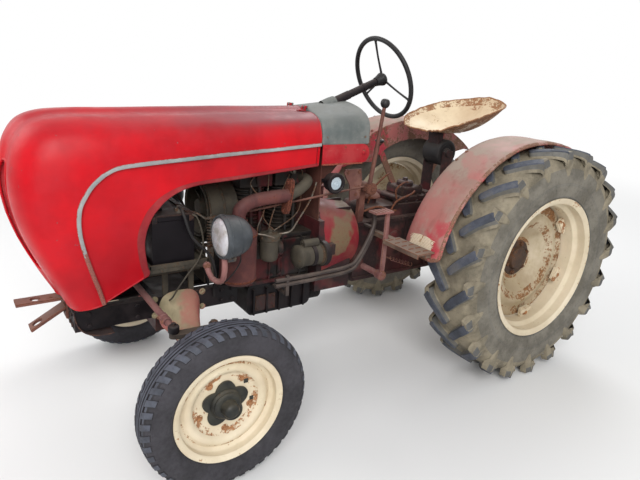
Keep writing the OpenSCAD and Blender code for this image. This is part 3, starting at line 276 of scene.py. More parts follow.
def make_materials():
    """Every material by its key. Numbers after the colours: fading, dusting, rusting, edges,
    scratches, streaks, the two ends of roughness, grain, metallic, scale."""
    red_rust = ((96, 50, 40), (150, 84, 62))
    return {
        "hood": weathered("red_paint_hood", (196, 6, 22), (152, 3, 18), (170, 26, 38), (118, 72, 76),
            red_rust, 0.28, 0.95, 0.05, 0.5, 0.6, 0.15, (0.3, 0.5), 0.1, specular=0.22,
            dust_from=(1.35, 0.35)),
        "flange": weathered("red_paint_flange", (148, 34, 40), (112, 24, 30), (160, 78, 74), (140, 92, 86),
            red_rust, 0.4, 0.4, 0.25, 0.6, 0.2, 0.2, (0.5, 0.75), 0.2),
        "panel": weathered("red_paint_panel", (176, 22, 34), (140, 14, 26), (172, 76, 74), (150, 100, 98),
            red_rust, 0.35, 0.6, 0.22, 0.6, 0.4, 0.3, (0.42, 0.7), 0.2),
        "fender": weathered("red_paint_fender", (176, 102, 98), (132, 82, 76), (160, 140, 128),
            (146, 134, 120), ((92, 66, 52), (140, 104, 84)), 0.7, 0.75, 0.24, 0.8, 0.5, 0.4, (0.5, 0.75),
            0.22, patches=((178, 52, 66), 0.2)),
        "red": weathered("red_paint_castings", (112, 20, 26), (50, 14, 16), (104, 72, 60), (96, 78, 68),
            ((40, 28, 24), (84, 58, 44)), 0.5, 0.6, 0.4, 0.5, 0, 0.6, (0.45, 0.85), 0.4,
            patches=((48, 38, 36), 0.4)),
        "casting": weathered("red_paint_gearbox", (104, 42, 44), (50, 26, 28), (96, 74, 66), (104, 86, 78),
            ((34, 26, 25), (66, 48, 40)), 0.5, 0.55, 0.3, 0.5, 0, 0.6, (0.4, 0.8), 0.4,
            patches=((38, 30, 30), 0.75)),
        "bell": weathered("red_paint_bell", (154, 40, 52), (120, 28, 38), (142, 100, 82), (110, 92, 78),
            ((52, 40, 32), (96, 76, 58)), 0.35, 0.5, 0.25, 0.5, 0.3, 0.45, (0.45, 0.8), 0.35,
            patches=((112, 98, 74), 0.05)),
        "trumpet": weathered("cream_dust_castings", (144, 134, 106), (98, 88, 68), (170, 154, 124),
            (164, 150, 122), ((84, 50, 44), (140, 86, 72)), 0.5, 0.4, 0.18, 0.4, 0, 0.4, (0.55, 0.85), 0.35,
            patches=((164, 88, 84), 0.22)),
        "grey": weathered("grey_paint_cowl", (102, 107, 105), (78, 84, 83), (132, 132, 127),
            (126, 124, 118), ((84, 66, 54), (134, 104, 84)), 0.45, 0.4, 0.18, 0.7, 0.5, 0.35, (0.4, 0.7),
            0.2),
        "trim": weathered("grey_paint_trim", (152, 152, 152), (112, 112, 112), (176, 174, 170),
            (160, 152, 146), ((104, 44, 38), (150, 84, 70)), 0.4, 0.3, 0.4, 0.5, 0, 0.2, (0.35, 0.6), 0.2),
        "lamp": weathered("grey_paint_lamp", (60, 64, 68), (40, 43, 47), (92, 96, 100), (92, 92, 90),
            ((70, 60, 52), (104, 90, 78)), 0.45, 0.45, 0.15, 0.5, 0.2, 0.3, (0.3, 0.55), 0.18),
        "cream": weathered("cream_paint_wheel", (226, 212, 188), (196, 180, 152), (214, 204, 176),
            (184, 168, 144), ((104, 62, 36), (172, 112, 62)), 0.45, 0.3, 0.42, 0.8, 0.2, 0.35, (0.45, 0.75),
            0.25),
        "disc": weathered("cream_paint_disc", (198, 184, 160), (150, 132, 104), (160, 146, 112),
            (150, 132, 108), ((78, 50, 30), (150, 98, 56)), 0.5, 0.3, 0.5, 0.7, 0, 0.5, (0.5, 0.8), 0.3),
        "seat": weathered("cream_paint_seat", (226, 208, 176), (184, 156, 124), (206, 184, 152),
            (216, 196, 166), ((96, 60, 40), (166, 112, 72)), 0.5, 0.3, 0.52, 1.1, 0.5, 0.45, (0.42, 0.7),
            0.25),
        # Olive paint, its colour made darker as painted shade of the engine bay, where its parts sit
        "olive": weathered("olive_paint", (68, 62, 53), (42, 38, 33), (94, 86, 72), (96, 89, 76),
            ((54, 42, 33), (92, 70, 52)), 0.4, 0.45, 0.25, 0.5, 0, 0.5, (0.5, 0.85), 0.3),
        "iron": weathered("dark_iron", (54, 46, 43), (28, 25, 25), (88, 78, 68), (104, 92, 80),
            ((58, 40, 32), (104, 74, 56)), 0.4, 0.5, 0.25, 0.5, 0, 0.6, (0.4, 0.8), 0.4),
        # Dark iron of the engine, its colour made darker still as painted shade of the engine bay
        "engine": weathered("dark_iron_and_bay_shade_engine", (40, 36, 34), (20, 18, 19), (74, 62, 54), (88, 78, 66),
            ((52, 36, 30), (88, 62, 48)), 0.4, 0.45, 0.2, 0.4, 0, 0.7, (0.35, 0.8), 0.4,
            patches=((82, 30, 32), 0.12)),
        "black": weathered("black_paint", (28, 23, 26), (12, 10, 13), (56, 46, 46), (78, 68, 64),
            ((50, 34, 29), (84, 58, 46)), 0.35, 0.5, 0.2, 0.5, 0, 0.6, (0.3, 0.75), 0.3, specular=0.2),
        "bulkhead": weathered("brown_paint_bulkhead", (92, 54, 46), (54, 34, 31), (112, 76, 62),
            (100, 78, 66), ((60, 40, 32), (116, 76, 52)), 0.5, 0.5, 0.35, 0.5, 0, 0.6, (0.5, 0.85), 0.3),
        "chin": weathered("dusty_black_sheet", (60, 44, 46), (30, 24, 27), (84, 62, 62), (96, 80, 74),
            ((60, 42, 36), (104, 74, 60)), 0.45, 0.5, 0.25, 0.6, 0, 0.4, (0.5, 0.85), 0.3),
        "rust": weathered("rusty_steel", (112, 70, 60), (70, 44, 39), (140, 98, 84), (136, 108, 96),
            ((60, 38, 30), (132, 80, 56)), 0.45, 0.45, 0.5, 0.5, 0, 0.4, (0.55, 0.88), 0.5, 0.1),
        "orange_rust": weathered("orange_rusty_steel", (124, 84, 74), (82, 52, 48), (150, 112, 98),
            (128, 106, 96), ((66, 42, 36), (122, 78, 60)), 0.5, 0.4, 0.35, 0.5, 0, 0.3, (0.6, 0.9), 0.5),
        "step": weathered("rusty_olive_steel", (112, 92, 80), (72, 54, 46), (140, 120, 104),
            (142, 124, 108), ((92, 52, 38), (140, 84, 60)), 0.5, 0.5, 0.45, 0.7, 0, 0.4, (0.55, 0.85), 0.4),
        # Rusty steel of the muffler, its colour made darker as painted shade of the engine bay
        "muffler": weathered("rusty_steel_muffler", (90, 50, 48), (56, 32, 33), (116, 72, 66),
            (104, 80, 74), ((54, 34, 30), (122, 66, 46)), 0.5, 0.4, 0.35, 0.5, 0, 0.5, (0.55, 0.88), 0.5,
            0.1, 1.6),
        "pink": weathered("rusty_steel_faded", (148, 100, 96), (100, 62, 60), (172, 134, 126),
            (144, 118, 110), ((86, 54, 44), (142, 98, 78)), 0.4, 0.3, 0.35, 0.6, 0, 0.35, (0.5, 0.8), 0.3),
        "pipe": weathered("dusty_pipes", (80, 68, 64), (46, 40, 39), (110, 96, 88), (116, 102, 92),
            ((70, 46, 38), (112, 78, 60)), 0.45, 0.5, 0.3, 0.4, 0, 0.3, (0.45, 0.75), 0.25),
        "steel": weathered("bare_steel", (124, 116, 106), (84, 76, 68), (148, 140, 128), (132, 120, 108),
            ((76, 54, 42), (122, 88, 66)), 0.4, 0.3, 0.35, 0.3, 0, 0.3, (0.35, 0.6), 0.3, 0.4),
        "battery": weathered("battery_case", (13, 8, 13), (8, 5, 8), (34, 28, 32), (84, 76, 72),
            ((38, 32, 30), (66, 58, 54)), 0.2, 0.8, 0.03, 0.4, 0, 0.2, (0.3, 0.7), 0.15, specular=0.18),
        "wheel": weathered("wheel_plastic", (28, 27, 28), (17, 16, 17), (54, 52, 52), (80, 76, 74),
            ((56, 50, 46), (86, 78, 70)), 0.3, 0.35, 0.05, 0.5, 0, 0.1, (0.28, 0.6), 0.12),
        "rubber": weathered("black_rubber", (32, 30, 31), (18, 17, 18), (62, 56, 53), (82, 74, 68),
            ((56, 48, 43), (84, 72, 62)), 0.3, 0.4, 0.1, 0.4, 0, 0.2, (0.5, 0.8), 0.3),
        "hub": weathered("oily_green_black_iron", (46, 48, 44), (22, 22, 22), (78, 76, 66), (90, 84, 72),
            ((58, 42, 33), (100, 74, 56)), 0.4, 0.4, 0.3, 0.5, 0, 0.5, (0.3, 0.7), 0.4),
        "rear_hub": weathered("oily_brown_iron", (78, 52, 38), (44, 30, 24), (110, 84, 64), (104, 84, 66),
            ((48, 34, 26), (112, 74, 48)), 0.4, 0.4, 0.4, 0.5, 0, 0.5, (0.35, 0.7), 0.35),
        "dial": weathered("pale_gauge_disc", (176, 190, 198), (146, 160, 168), (200, 206, 208),
            (182, 184, 180), ((100, 90, 80), (140, 124, 108)), 0.4, 0.3, 0.06, 0.3, 0, 0.2, (0.25, 0.5),
            0.1),
        "rear_tyre": rubber("tyre_rear", (78, 82, 93), (142, 132, 112), (106, 104, 99)),
        "front_tyre": rubber("tyre_front", (80, 83, 93), (46, 44, 48), (62, 60, 65)),
        "lens": glass_like("lamp_lens"),
    }


# ---- Mesh building


def smooth_line(points, steps):
    """A smooth curve through the points, with some steps between two of them."""
    points = [Vector(p) for p in points]
    last = len(points) - 1
    line = []
    for i in range(last):
        a, b, c, d = points[max(i - 1, 0)], points[i], points[i + 1], points[min(i + 2, last)]
        for k in range(steps):
            t = k / steps
            line.append(0.5 * (2 * b + (c - a) * t + (2 * a - 5 * b + 4 * c - d) * t * t
                               + (3 * b - a - 3 * c + d) * t ** 3))
    return line + [points[-1]]


def across(axis):
    """Two directions square to an axis and to each other."""
    axis = Vector(axis).normalized()
    first = (Z if abs(axis.z) < 0.9 else X).cross(axis).normalized()
    return first, axis.cross(first)


def round_way(k, count):
    """Cosine and sine of a share of a full turn."""
    a = 2 * math.pi * k / count
    return math.cos(a), math.sin(a)


def clock(a):
    """Outward and sideways directions in a wheel's plane, at an angle from the top."""
    return Vector((math.sin(a), 0, math.cos(a))), Vector((math.cos(a), 0, -math.sin(a)))


def boxy(v, power):
    """A cosine or sine drawn toward the corners of its circle."""
    return math.copysign(abs(v) ** power, v)


def turned(rows, flip):
    """Rows of a skin, read backwards where its outside would face inward."""
    return [list(reversed(r)) for r in rows] if flip else rows


class Kit:
    """Collects the faces of one piece. Points are millimetres from the rear axle."""

    def __init__(self):
        self.points, self.faces, self.edge, self.tone = [], [], [], []
        self.side, self.place = 1, Matrix.Identity(4)

    def add(self, points, faces, tone=0.0, edge=0.0):
        start = len(self.points)
        self.points += [self.place @ Vector(p) for p in points]
        self.faces += [[start + i for i in f] for f in faces]
        self.tone += list(tone) if isinstance(tone, (list, tuple)) else [tone] * len(faces)
        self.edge += list(edge) if isinstance(edge, (list, tuple)) else [edge] * len(faces)

    def shaped(self, bm, bevel, steps, tone, sharp=32):
        """Rounds the sharp edges of a bmesh in millimetres and takes it in."""
        rounded = set()
        if bevel:
            edges = [e for e in bm.edges if len(e.link_faces) == 2
                     and e.calc_face_angle(0) > math.radians(sharp)]
            made = bmesh.ops.bevel(
                bm, geom=edges, offset=bevel, offset_type="OFFSET", segments=steps, profile=0.5,
                affect="EDGES", clamp_overlap=False)
            rounded = set(made["faces"])
        bm.verts.index_update()
        self.add([v.co.copy() for v in bm.verts], [[v.index for v in f.verts] for f in bm.faces],
                 tone, [1.0 if f in rounded else 0.0 for f in bm.faces])
        bm.free()

    def node(self, name, bevel, steps=2):
        """A solid of the model, with its edges rounded."""
        bm = bmesh.new()
        bm.from_mesh(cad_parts[name].data)
        for v in bm.verts:
            v.co = Vector(((v.co.x - AXLE_X) * 1000, v.co.y * 1000, v.co.z * 1000))
        bmesh.ops.remove_doubles(bm, verts=bm.verts, dist=0.01)
        bmesh.ops.dissolve_limit(bm, angle_limit=math.radians(1.5), verts=bm.verts, edges=bm.edges)
        self.shaped(bm, bevel, steps, 0.0)

    def box(self, low, high, bevel=2.0, tone=0.0):
        low, high = Vector(low), Vector(high)
        bm = bmesh.new()
        bmesh.ops.create_cube(bm, size=1)
        for v in bm.verts:
            v.co = Vector([low[i] + (v.co[i] + 0.5) * (high[i] - low[i]) for i in range(3)])
        self.shaped(bm, bevel, 2, tone)

    def prism(self, outline, at, across_1, across_2, depth, bevel=1.5, tone=0.0):
        """A flat outline in the plane of two directions, given a depth along their cross product."""
        at, u, v = Vector(at), Vector(across_1), Vector(across_2)
        out = u.cross(v).normalized() * depth
        bm = bmesh.new()
        low = [bm.verts.new(at + u * p[0] + v * p[1]) for p in outline]
        high = [bm.verts.new(w.co + out) for w in low]
        bm.faces.new(list(reversed(low)))
        bm.faces.new(high)
        for i in range(len(low)):
            k = (i + 1) % len(low)
            bm.faces.new((low[i], low[k], high[k], high[i]))
        self.shaped(bm, bevel, 2, tone, 20)

    def skin(self, rows, wrap=False, caps=False, tone=0.0, edge=0.0, skip=None):
        """A surface through rows of points; wrap joins each row's ends."""
        n = len(rows[0])
        faces, tones = [], []
        for i in range(len(rows) - 1):
            for k in range(n if wrap else n - 1):
                if skip and skip(i, k):
                    continue
                m = (k + 1) % n
                faces.append((i * n + k, i * n + m, (i + 1) * n + m, (i + 1) * n + k))
                tones.append(tone(i, k) if callable(tone) else tone)
        if caps:
            faces += [tuple(reversed(range(n))), tuple(range((len(rows) - 1) * n, len(rows) * n))]
            tones += [tones[0], tones[-1]]
        self.add([p for row in rows for p in row], faces, tones, edge)

    def lathe(self, centre, axis, profile, turns=64, tone=0.0, closed=False):
        """Turns a profile of (radius, way along the axis) round an axis."""
        centre, axis = Vector(centre), Vector(axis).normalized()
        u, v = across(axis)
        ring = [round_way(k, turns) for k in range(turns)]
        if closed:
            profile = list(profile) + [profile[0]]
        rows = [[centre + axis * p[1] + (u * c + v * s) * p[0] for c, s in ring] for p in profile]
        self.skin(rows, wrap=True, tone=tone)

    def tube(self, points, radius, sides=14, steps=6, tone=0.0, close=False):
        """A round bar along a smooth curve; radius may change by the way along it."""
        line = smooth_line(points, steps) if steps > 1 else [Vector(p) for p in points]
        n = len(line)
        rows, up = [], None
        for i, p in enumerate(line):
            if close:
                ahead = line[(i + 1) % n] - line[i - 1]
            else:
                ahead = line[min(i + 1, n - 1)] - line[max(i - 1, 0)]
            ahead.normalize()
            up = across(ahead)[0] if up is None else (up - ahead * up.dot(ahead)).normalized()
            side = ahead.cross(up)
            r = radius(i / (n - 1)) if callable(radius) else radius
            ring = [round_way(k, sides) for k in range(sides)]
            rows.append([p + (up * c + side * q) * r for c, q in ring])
        self.skin(rows + [rows[0]] if close else rows, wrap=True, caps=not close, tone=tone)

    def rod(self, start, end, radius, sides=18, tone=0.0):
        """A straight bar with softened ends."""
        start, end = Vector(start), Vector(end)
        d = min(1.5, radius * 0.25)
        along = (end - start).length
        self.lathe(start, end - start, [(0, 0), (radius - d, 0), (radius, d), (radius, along - d),
                                        (radius - d, along), (0, along)], sides, tone)

    def bolt(self, at, axis, size=8.0, high=7.0, tone=0.3):
        """A washer and a six-sided head with a worn top."""
        at, axis = Vector(at), Vector(axis).normalized()
        u, v = across(axis)
        spin = (at.x * 0.37 + at.z * 0.91 + at.y * 0.53) % 1.0
        def ring(radius, way, count):
            turns = [round_way(k + spin, count) for k in range(count)]
            return [at + axis * way + (u * c + v * q) * radius for c, q in turns]
        self.skin([ring(size * 1.45, -2, 18), ring(size * 1.45, 1.4, 18), ring(size * 1.1, 1.8, 18)], True,
                  True, tone)
        self.skin([ring(size, -1, 6), ring(size, high * 0.85, 6), ring(size * 0.82, high, 6)], True, True,
                  tone, 0.4)

    def bolts(self, places, axis, size=8.0, high=7.0, tone=0.3):
        for p in places:
            self.bolt(p, axis, size, high, tone)

    def flip(self, start):
        """Turns round the faces from the number start on."""
        for f in self.faces[start:]:
            f.reverse()

    def both(self, draw):
        """Draws a thing on the left and, mirrored, on the right."""
        for side in (1, -1):
            start = len(self.faces)
            self.side, self.place = side, Matrix.Diagonal((1, side, 1, 1))
            draw()
            if side < 0:
                self.flip(start)
        self.place = Matrix.Identity(4)

    def done(self, name, look, slot, replaces=(), body="chassis", smooth=38):
        """Makes the piece, gives it its look, and ties it to its body and replaced nodes; slot is not used.
        """
        mesh = bpy.data.meshes.new(name)
        mesh.from_pydata([metres(p) for p in self.points], [], self.faces)
        mesh.validate()
        for key, values in (("edge", self.edge), ("tone", self.tone)):
            layer = mesh.attributes.new(key, "FLOAT", "FACE")
            if len(values) == len(mesh.polygons):
                layer.data.foreach_set("value", values)
        mesh.shade_smooth()
        mesh.set_sharp_from_angle(angle=math.radians(smooth))
        mesh.materials.append(MAT[look])
        piece = bpy.data.objects.new(name, mesh)
        bpy.context.scene.collection.objects.link(piece)
        modifier = piece.modifiers.new("weighted", "WEIGHTED_NORMAL")
        modifier.keep_sharp = True
        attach(piece, body)
        if replaces:
            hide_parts(*replaces)


MAT = make_materials()


def ring_points(count, radius, centre, axis, start=0.0):
    """Places round a circle, such as bolts on a flange."""
    u, v = across(axis)
    turns = [start + 2 * math.pi * k / count for k in range(count)]
    return [Vector(centre) + (u * math.cos(a) + v * math.sin(a)) * radius for a in turns]


def recast(name, node, look, slot, bevel, body="chassis"):
    """A piece that is one solid of the model, with its edges rounded."""
    kit = Kit()
    kit.node(node, bevel)
    kit.done(name, look, slot, [node], body)


# ---- Hood

# Columns: crest behind the nose, crest z, trim behind the nose, trim z,
# lower edge behind the nose, lower edge z, share of the front width
HOOD_TABLE = [
    (1258, 1378, 1258, 1229, 1258, 1133, 0), (1000, 1374, 1030, 1218, 1030, 1117, 0.3),
    (760, 1370, 800, 1208, 820, 1103, 0.6), (550, 1365, 610, 1197, 665, 1094, 0.8),
    (369, 1360, 470, 1189, 584, 1075, 0.95), (227, 1357, 365, 1179, 530, 1045, 1),
    (138, 1346, 320, 1163, 502, 1018, 1), (75, 1318, 288, 1141, 478, 990, 1),
    (34, 1266, 260, 1113, 462, 960, 1), (10, 1190, 237, 1078, 450, 930, 1),
    (0, 1110, 219, 1040, 443, 900, 1), (6, 1020, 212, 985, 440, 871, 1),
    (27, 925, 216, 925, 442, 835, 1), (60, 835, 229, 860, 446, 800, 1),
    (96, 750, 249, 783, 451, 775, 1), (128, 685, 266, 725, 456, 760, 1), (156, 632, 281, 664, 454, 748, 1),
]
# Columns: share of the half width, drop below the crest, way to the trim, way below the trim, step inward
HOOD_PROFILE = [
    (0, 0, 0, 0, 0), (0.1, 3, 0, 0, 0), (0.22, 16, 0, 0, 0), (0.38, 18, 0, 0, 0), (0.56, 14, 0.03, 0, 0),
    (0.74, 10, 0.13, 0, 0), (0.88, 0, 0.32, 0, 0), (0.96, 0, 0.55, 0, 0), (1, 0, 0.8, 0, 0),
    (1, 0, 1, 0, 0), (1, 0, 1, 0.07, 9), (0.99, 0, 1, 0.55, 9), (0.98, 0, 1, 1, 9),
]
HOOD_REAR_Y, HOOD_FRONT_Y = 222, 278
GRILLE_ROWS, GRILLE_COLS = (9, 14), (1, 3)


def table_at(table, t):
    """A row of a table at a fractional place, on a smooth curve."""
    last = len(table) - 1
    t = min(max(t, 0.0), last - 1e-9)
    i = int(t)
    a, b, c, d = (table[j] for j in (max(i - 1, 0), i, i + 1, min(i + 2, last)))
    t -= i
    return [0.5 * (2 * q + (r - p) * t + (2 * p - 5 * q + 4 * r - s) * t * t
                   + (3 * q - p - 3 * r + s) * t ** 3)
            for p, q, r, s in zip(a, b, c, d)]


def hood_point(i, j, inset=0.0):
    """A point of the hood's left skin at a station i and a place j across."""
    crest_x, crest_z, trim_x, trim_z, low_x, low_z, share = table_at(HOOD_TABLE, i)
    if j <= 9:
        wide, drop, down, below, step = table_at(HOOD_PROFILE[:10], j)
    else:
        k = min(int(j), 11)
        t = j - k
        near, far = HOOD_PROFILE[k:k + 2]
        wide, drop, down, below, step = [p + (q - p) * t for p, q in zip(near, far)]
    crest, trim = Vector((NOSE - crest_x, crest_z)), Vector((NOSE - trim_x, trim_z))
    low = Vector((NOSE - low_x, low_z))
    to_trim = trim - crest
    base = crest + to_trim.normalized() * (drop + inset * (1 - down))
    at = base + (trim - base) * down + (low - trim) * below
    half = HOOD_REAR_Y + (HOOD_FRONT_Y - HOOD_REAR_Y) * share
    return Vector((at.x, wide * half - step - inset * min(1, wide * 1.2), at.y))


def to_side(p, side, out=0.0):
    """A point of the left skin, moved outward and set on its side."""
    return Vector((p.x, (p.y + out) * side, p.z))


def hood():
    """Hood skin with its grille openings, bead, seam and trim."""
    rows_n = 6 * (len(HOOD_TABLE) - 1)
    cols = [k / 5 for k in range(45)] + [9, 9.08, 9.5, 9.92, 10, 10.1]
    cols += [10.4 + 0.2 * k for k in range(8)] + [12]
    full = [-c for c in reversed(cols[1:])] + cols
    def at(i, j, inset):
        p = hood_point(i / 6, abs(j), inset)
        # Small waves of hammered and leaned-on sheet
        wave = noise.noise(Vector((p.x * 0.006, j * 0.4, p.z * 0.006))) * 1.6
        return Vector((p.x, (p.y + wave) * (-1 if j < 0 else 1), p.z + wave * 0.6))
    low_row, high_row = GRILLE_ROWS[0] * 6, GRILLE_ROWS[1] * 6
    def opening(i, k):
        j = abs((full[k] + full[k + 1]) / 2)
        if not (low_row <= i < high_row and GRILLE_COLS[0] < j < GRILLE_COLS[1]):
            return False
        across_way = abs(j - 2)
        along_way = min(i - low_row, high_row - 1 - i) / 6
        return along_way > 0.55 or across_way < 0.35 + along_way * 1.1
    kit = Kit()
    for inset, flip in ((0, False), (4, True)):
        rows = [[at(i, j, inset) for j in full] for i in range(rows_n + 1)]
        start = len(kit.faces)
        kit.skin(rows, skip=opening)
        if flip:
            kit.flip(start)
    # Bead rolled round the side openings, across the rear edge and round the chin
    flange = Kit()
    for side in (1, -1):
        edge_line = [hood_point(i / 3, 12, 2) for i in range(49)]
        flange.tube([to_side(p, side, -2) for p in edge_line], 5.5, 10, 1, 0.25)
        rows = [[to_side(p, side, 1.5), to_side(q, side, 1.8)]
                for p, q in ((hood_point(i / 3, 11.75), hood_point(i / 3, 12)) for i in range(49))]
        flange.skin(turned(rows, side > 0), tone=0.1)
    flange.done("hood_flange", "flange", "red_paint", body="hood")
    kit.tube([at(0, j, 2) for j in full], 3.4, 8, 1, 0.5)
    kit.tube([at(rows_n, j, 2) for j in full], 3.6, 8, 1, 0.4)
    for side in (1, -1):
        loop = []
        for a in range(48):
            c, s = round_way(a, 48)
            c, s = boxy(c, 0.5), boxy(s, 0.6)
            loop.append(to_side(hood_point(11.5 + 2.5 * c, 2 + 1.0 * s, 1), side))
        kit.tube(loop, 4.2, 8, 1, 0.3, close=True)
    kit.done("hood_skin", "hood", "red_paint", ["hood_shell"], body="hood")
    # Dark seam of the two sheets of the hood's side
    seam = Kit()
    for side in (1, -1):
        line = [hood_point(0.1, 9.4 + 0.26 * k) for k in range(11)]
        seam.tube([to_side(p, side, 0.6) for p in line], 1.3, 6, 1, 0.3)
    seam.done("hood_seam", "black", "red_paint", body="hood")

    trim = Kit()
    section = [(-8, 0.3), (-6.5, 3.6), (-2.5, 5), (2.5, 5), (6.5, 3.6), (8, 0.3)]
    for side in (1, -1):
        rows = []
        for i in range(97):
            p, q = hood_point(max(i - 1, 0) / 6, 9), hood_point(min(i + 1, 96) / 6, 9)
            way = (q - p).normalized()
            out = Vector((way.z, 0, -way.x)).normalized()
            at_i = hood_point(i / 6, 9)
            row = [at_i + out * c[0] + Y * c[1] for c in section]
            rows.append([to_side(r, side) for r in (row if side > 0 else reversed(row))])
        trim.skin(rows, caps=True, tone=lambda i, k: max(0.0, (i - 66) / 30) + (0.4 if k in (0, 4) else 0))
    trim.done("side_trim", "trim", "grey_paint", ["hood_trim"], body="hood")


# ---- Cowl and steering


def cowl():
    """Fuel tank cowl, its side panels and the leaves of the hood's hinge."""
    kit = Kit()
    # Columns: share of the half width, height, or below zero the drop from the top
    side = [(0, COWL_LOW), (0.5, COWL_LOW), (1, COWL_LOW), (1, 1250), (1, -105), (0.985, -92), (0.955, -72),
            (0.9, -56), (0.82, -41), (0.7, -28), (0.56, -17), (0.4, -9), (0.27, -4), (0.15, -1), (0, 0)]
    def section(x, top, half, shrink=0.0):
        out = []
        for w, z in side:
            lift = shrink if z == COWL_LOW else (-shrink if z <= 0 else 0)
            out.append(Vector((x, w * half - shrink * min(1, w * 3), (z if z > 0 else top + z) + lift)))
        return out + [Vector((p.x, -p.y, p.z)) for p in reversed(out[1:-1])]
    rows = [(0, 7), (0.004, 3), (0.018, 0.4), (0.04, 0)]
    rows += [(k / 12, 0) for k in range(1, 12)]
    rows += [(0.955, 0), (0.972, 1.5), (0.988, 5), (0.996, 10), (1, 17)]
    grid = []
    for k, shrink in rows:
        x = COWL_FRONT + (COWL_REAR - COWL_FRONT) * k
        grid.append(section(x, 1378 + 30 * k, 222 + 8 * k, shrink))
    kit.skin(grid, wrap=True, caps=True, tone=lambda i, k: 0.25 if i < 3 or i > 14 else 0)
    axis = Vector((math.cos(COLUMN_TILT), 0, -math.sin(COLUMN_TILT)))
    kit.lathe(STEER_CENTRE, axis, [(22, 318), (27, 320), (29, 328), (31, 352), (31, 396)], 32, 0.2)
    for s in (-66, 66):
        kit.rod((1144, s - 5, 1380), (1144, s + 5, 1380), 7)
        kit.box((1124, s - 5, 1373), (1144, s + 5, 1385), 1)
    kit.bolts([(x, 222 + 8 * (COWL_FRONT - x) / 270 + 1, 1262) for x in (900, 1110)], Y, 5, 4)
    kit.done("cowl_sheet", "grey", "grey_paint", ["fuel_tank"])
    column = Kit()
    column.lathe(STEER_CENTRE, axis, [(0, 226), (19, 226), (21, 229), (21, 396), (0, 396)], 32, 0.1)
    column.done("column_tube", "black", "black_paint")

    panel = Kit()
    def draw():
        outline = [(COWL_FRONT, COWL_LOW), (COWL_FRONT, 1140), (910, 1140)]
        outline += [(910 + 44.5 * math.cos(a), 1184.5 + 44.5 * math.sin(a))
                    for a in [math.radians(d) for d in range(255, 104, -15)]]
        outline += [(910, COWL_LOW)]
        panel.prism(outline, (0, 226, 0), X, Z, -4.5, 1.5, 0.05)
        panel.lathe((900, 229, 1190), Y, [(12, 0), (12, 5), (8, 7), (0, 7)], 24, 0.5)
        panel.bolts([(1120, 230, 1214), (1120, 230, 1156), (1010, 230, 1216)], Y, 5, 4)
        panel.box((905, 224, 1135), (1136, 234, 1142), 1.5, 0.8)
    panel.both(draw)
    panel.done("cowl_side_panels", "panel", "red_paint", ["cowl_panels"])

    hinge = Kit()
    hinge.node("hood_hinge", 0.8)
    for s in (-66, 66):
        hinge.bolts([(1164, s, 1365.5), (1174, s + 8, 1365.5)], Z, 3.2, 2.5)
    hinge.done("hinge_leaves", "panel", "red_paint", ["hood_hinge"], body="hood")


def steering_wheel():
    """Rim, spokes and hub cap, and the column below them."""
    axis = Vector((-math.cos(COLUMN_TILT), 0, math.sin(COLUMN_TILT)))
    # In the wheel's plane: up is the direction that leans forward at the top
    up = Vector((math.sin(COLUMN_TILT), 0, math.cos(COLUMN_TILT)))
    kit = Kit()
    def on_rim(a, r=WHEEL_RIM_R):
        return STEER_CENTRE + up * math.cos(a) * r + Y * math.sin(a) * r
    turns = 120
    kit.tube([on_rim(2 * math.pi * k / turns) for k in range(turns)], 12, 18, 1, close=True)
    for a in (0, 120, 240):
        a = math.radians(a)
        start = STEER_CENTRE + (up * math.cos(a) + Y * math.sin(a)) * 22 - axis * 4
        kit.tube([start, start.lerp(on_rim(a), 0.5) - axis * 3, on_rim(a)],
                 lambda t: 6.5 - 1.5 * math.sin(math.pi * t), 12, 6)
        kit.tube([start.lerp(on_rim(a), 0.9), on_rim(a)], lambda t: 6 + 4 * t, 12, 4)
    kit.lathe(STEER_CENTRE, axis, [(0, 12), (9, 12), (12, 10), (12, 4), (30, 3), (33, -2), (34, -9),
                                   (33, -14), (27, -30), (23, -45), (22, -52), (0, -52)], 48)
    kit.done("steering_wheel_rim", "wheel", "wheel_plastic", ["steering_wheel"], body="steering_wheel")

    column = Kit()
    column.lathe(STEER_CENTRE, -axis, [(0, 52.3), (18, 52.3), (19, 54), (19, 120), (21, 122), (21, 140),
                                       (19, 142), (19, 250)], 32)
    column.done("column_tube", "black", "black_paint", ["steering_column"])


# ---- Wheels


def smooth_profile(points, steps):
    """A profile of (radius, way) pairs, made smooth."""
    return [(p.x, p.y) for p in smooth_line([(a, b, 0) for a, b in points], steps)]


